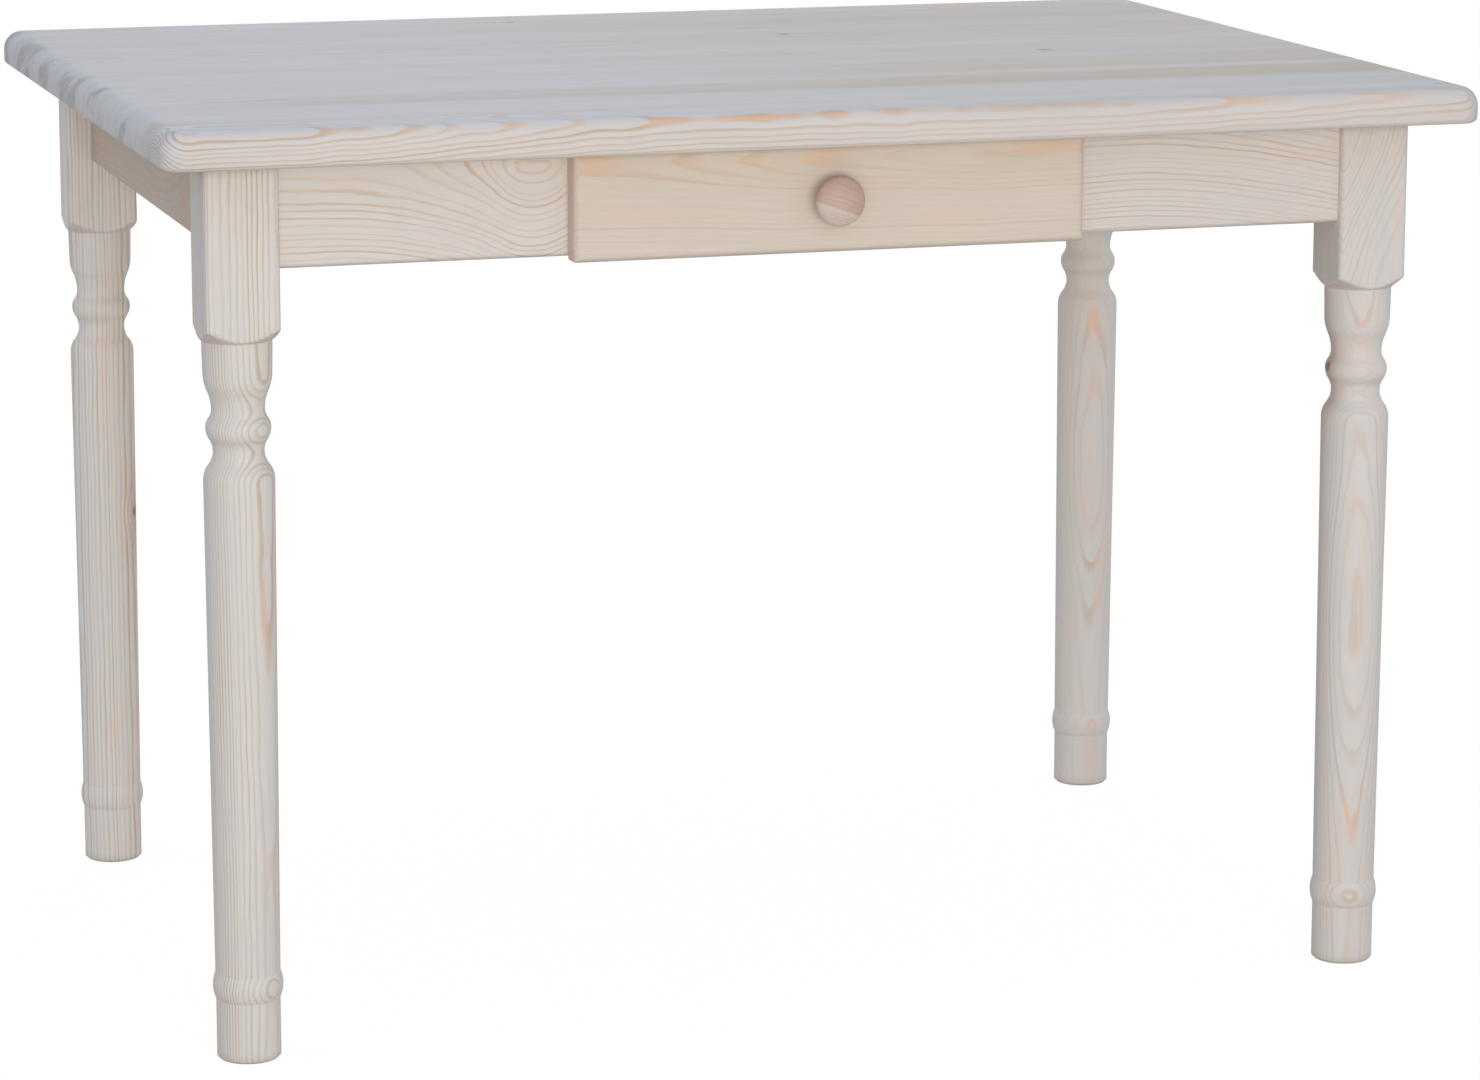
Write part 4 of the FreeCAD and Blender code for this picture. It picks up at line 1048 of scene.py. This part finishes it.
def add_floor(light):
    """A wide floor that looks nearly white and keeps some of the table's shadow."""
    side = FLOOR_SIDE
    points = [(-side, -side, 0), (side, -side, 0), (side, side, 0), (-side, side, 0)]
    mesh = bpy.data.meshes.new("studio_floor")
    mesh.from_pydata(points, [], [(0, 1, 2, 3)])
    floor = linked("studio_floor", mesh)
    recipe = material("floor_paint")
    paper = recipe.add("ShaderNodeBsdfDiffuse", None, {"Color": solid(light.floor)})
    glow = recipe.add("ShaderNodeEmission", None,
                      {"Color": solid(WHITE), "Strength": FLOOR_GLOW})
    blend = recipe.add("ShaderNodeMixShader", None,
                       {0: FLOOR_WHITE * seen_directly(recipe), 1: paper, 2: glow})
    recipe.add("ShaderNodeOutputMaterial", None, {"Surface": blend})
    mesh.materials.append(recipe.owner)


def add_sky(light):
    """Even cool light from all round, behind which the camera sees white."""
    recipe = Recipe(bpy.data.worlds.new("studio_sky"))
    sky = recipe.add("ShaderNodeBackground", None,
                     {"Color": solid(SKY_TINT), "Strength": light.sky})
    white = recipe.add("ShaderNodeBackground", None, {"Color": solid(WHITE), "Strength": 1.0})
    blend = recipe.add("ShaderNodeMixShader", None, {0: seen_directly(recipe), 1: sky, 2: white})
    recipe.add("ShaderNodeOutputWorld", None, {"Surface": blend})
    bpy.context.scene.world = recipe.owner


class TAVERN_TABLE_OT_stage(Operator):
    """Make the floor, the sky, the lamps and the camera"""
    bl_idname = "tavern_table.stage"
    bl_label = "Stage"

    def execute(self, context):
        light = context.scene.tavern_light
        context.scene.view_settings.view_transform = "Standard"
        add_floor(light)
        add_sky(light)
        add_softbox("key_lamp", KEY_PLACE, light.key, KEY_TINT)
        add_softbox("back_lamp", BACK_PLACE, light.back, BACK_TINT)
        add_camera()
        return {"FINISHED"}


# ---- panel and registration -------------------------------------------------------------------


class TAVERN_TABLE_PT_panel(Panel):
    """Lists the operators in making order, and the sizes and colours"""
    bl_label = "Tavern Table"
    bl_idname = "TAVERN_TABLE_PT_panel"
    bl_space_type = "VIEW_3D"
    bl_region_type = "UI"
    bl_category = "Tavern Table"

    def draw(self, context):
        for operator in OPERATORS:
            self.layout.operator(operator.bl_idname)
        scene = context.scene
        for group in (scene.tavern_sizes, scene.tavern_colours, scene.tavern_light):
            box = self.layout.box()
            for key in group.__annotations__:
                box.prop(group, key)


OPERATORS = (TAVERN_TABLE_OT_top, TAVERN_TABLE_OT_legs, TAVERN_TABLE_OT_aprons,
             TAVERN_TABLE_OT_drawer_front, TAVERN_TABLE_OT_knob, TAVERN_TABLE_OT_inside,
             TAVERN_TABLE_OT_fastenings, TAVERN_TABLE_OT_stage)
CLASSES = (TableSizes, WoodColours, StudioLight, *OPERATORS, TAVERN_TABLE_PT_panel)


def register():
    for cls in CLASSES:
        bpy.utils.register_class(cls)
    bpy.types.Scene.tavern_sizes = PointerProperty(type=TableSizes)
    bpy.types.Scene.tavern_colours = PointerProperty(type=WoodColours)
    bpy.types.Scene.tavern_light = PointerProperty(type=StudioLight)


def unregister():
    del bpy.types.Scene.tavern_light
    del bpy.types.Scene.tavern_colours
    del bpy.types.Scene.tavern_sizes
    for cls in reversed(CLASSES):
        bpy.utils.unregister_class(cls)


def main():
    register()
    bpy.ops.tavern_table.top()
    bpy.ops.tavern_table.legs()
    bpy.ops.tavern_table.aprons()
    bpy.ops.tavern_table.drawer_front()
    bpy.ops.tavern_table.knob()
    bpy.ops.tavern_table.inside()
    bpy.ops.tavern_table.fastenings()
    bpy.ops.tavern_table.stage()


if __name__ == "__main__":
    main()
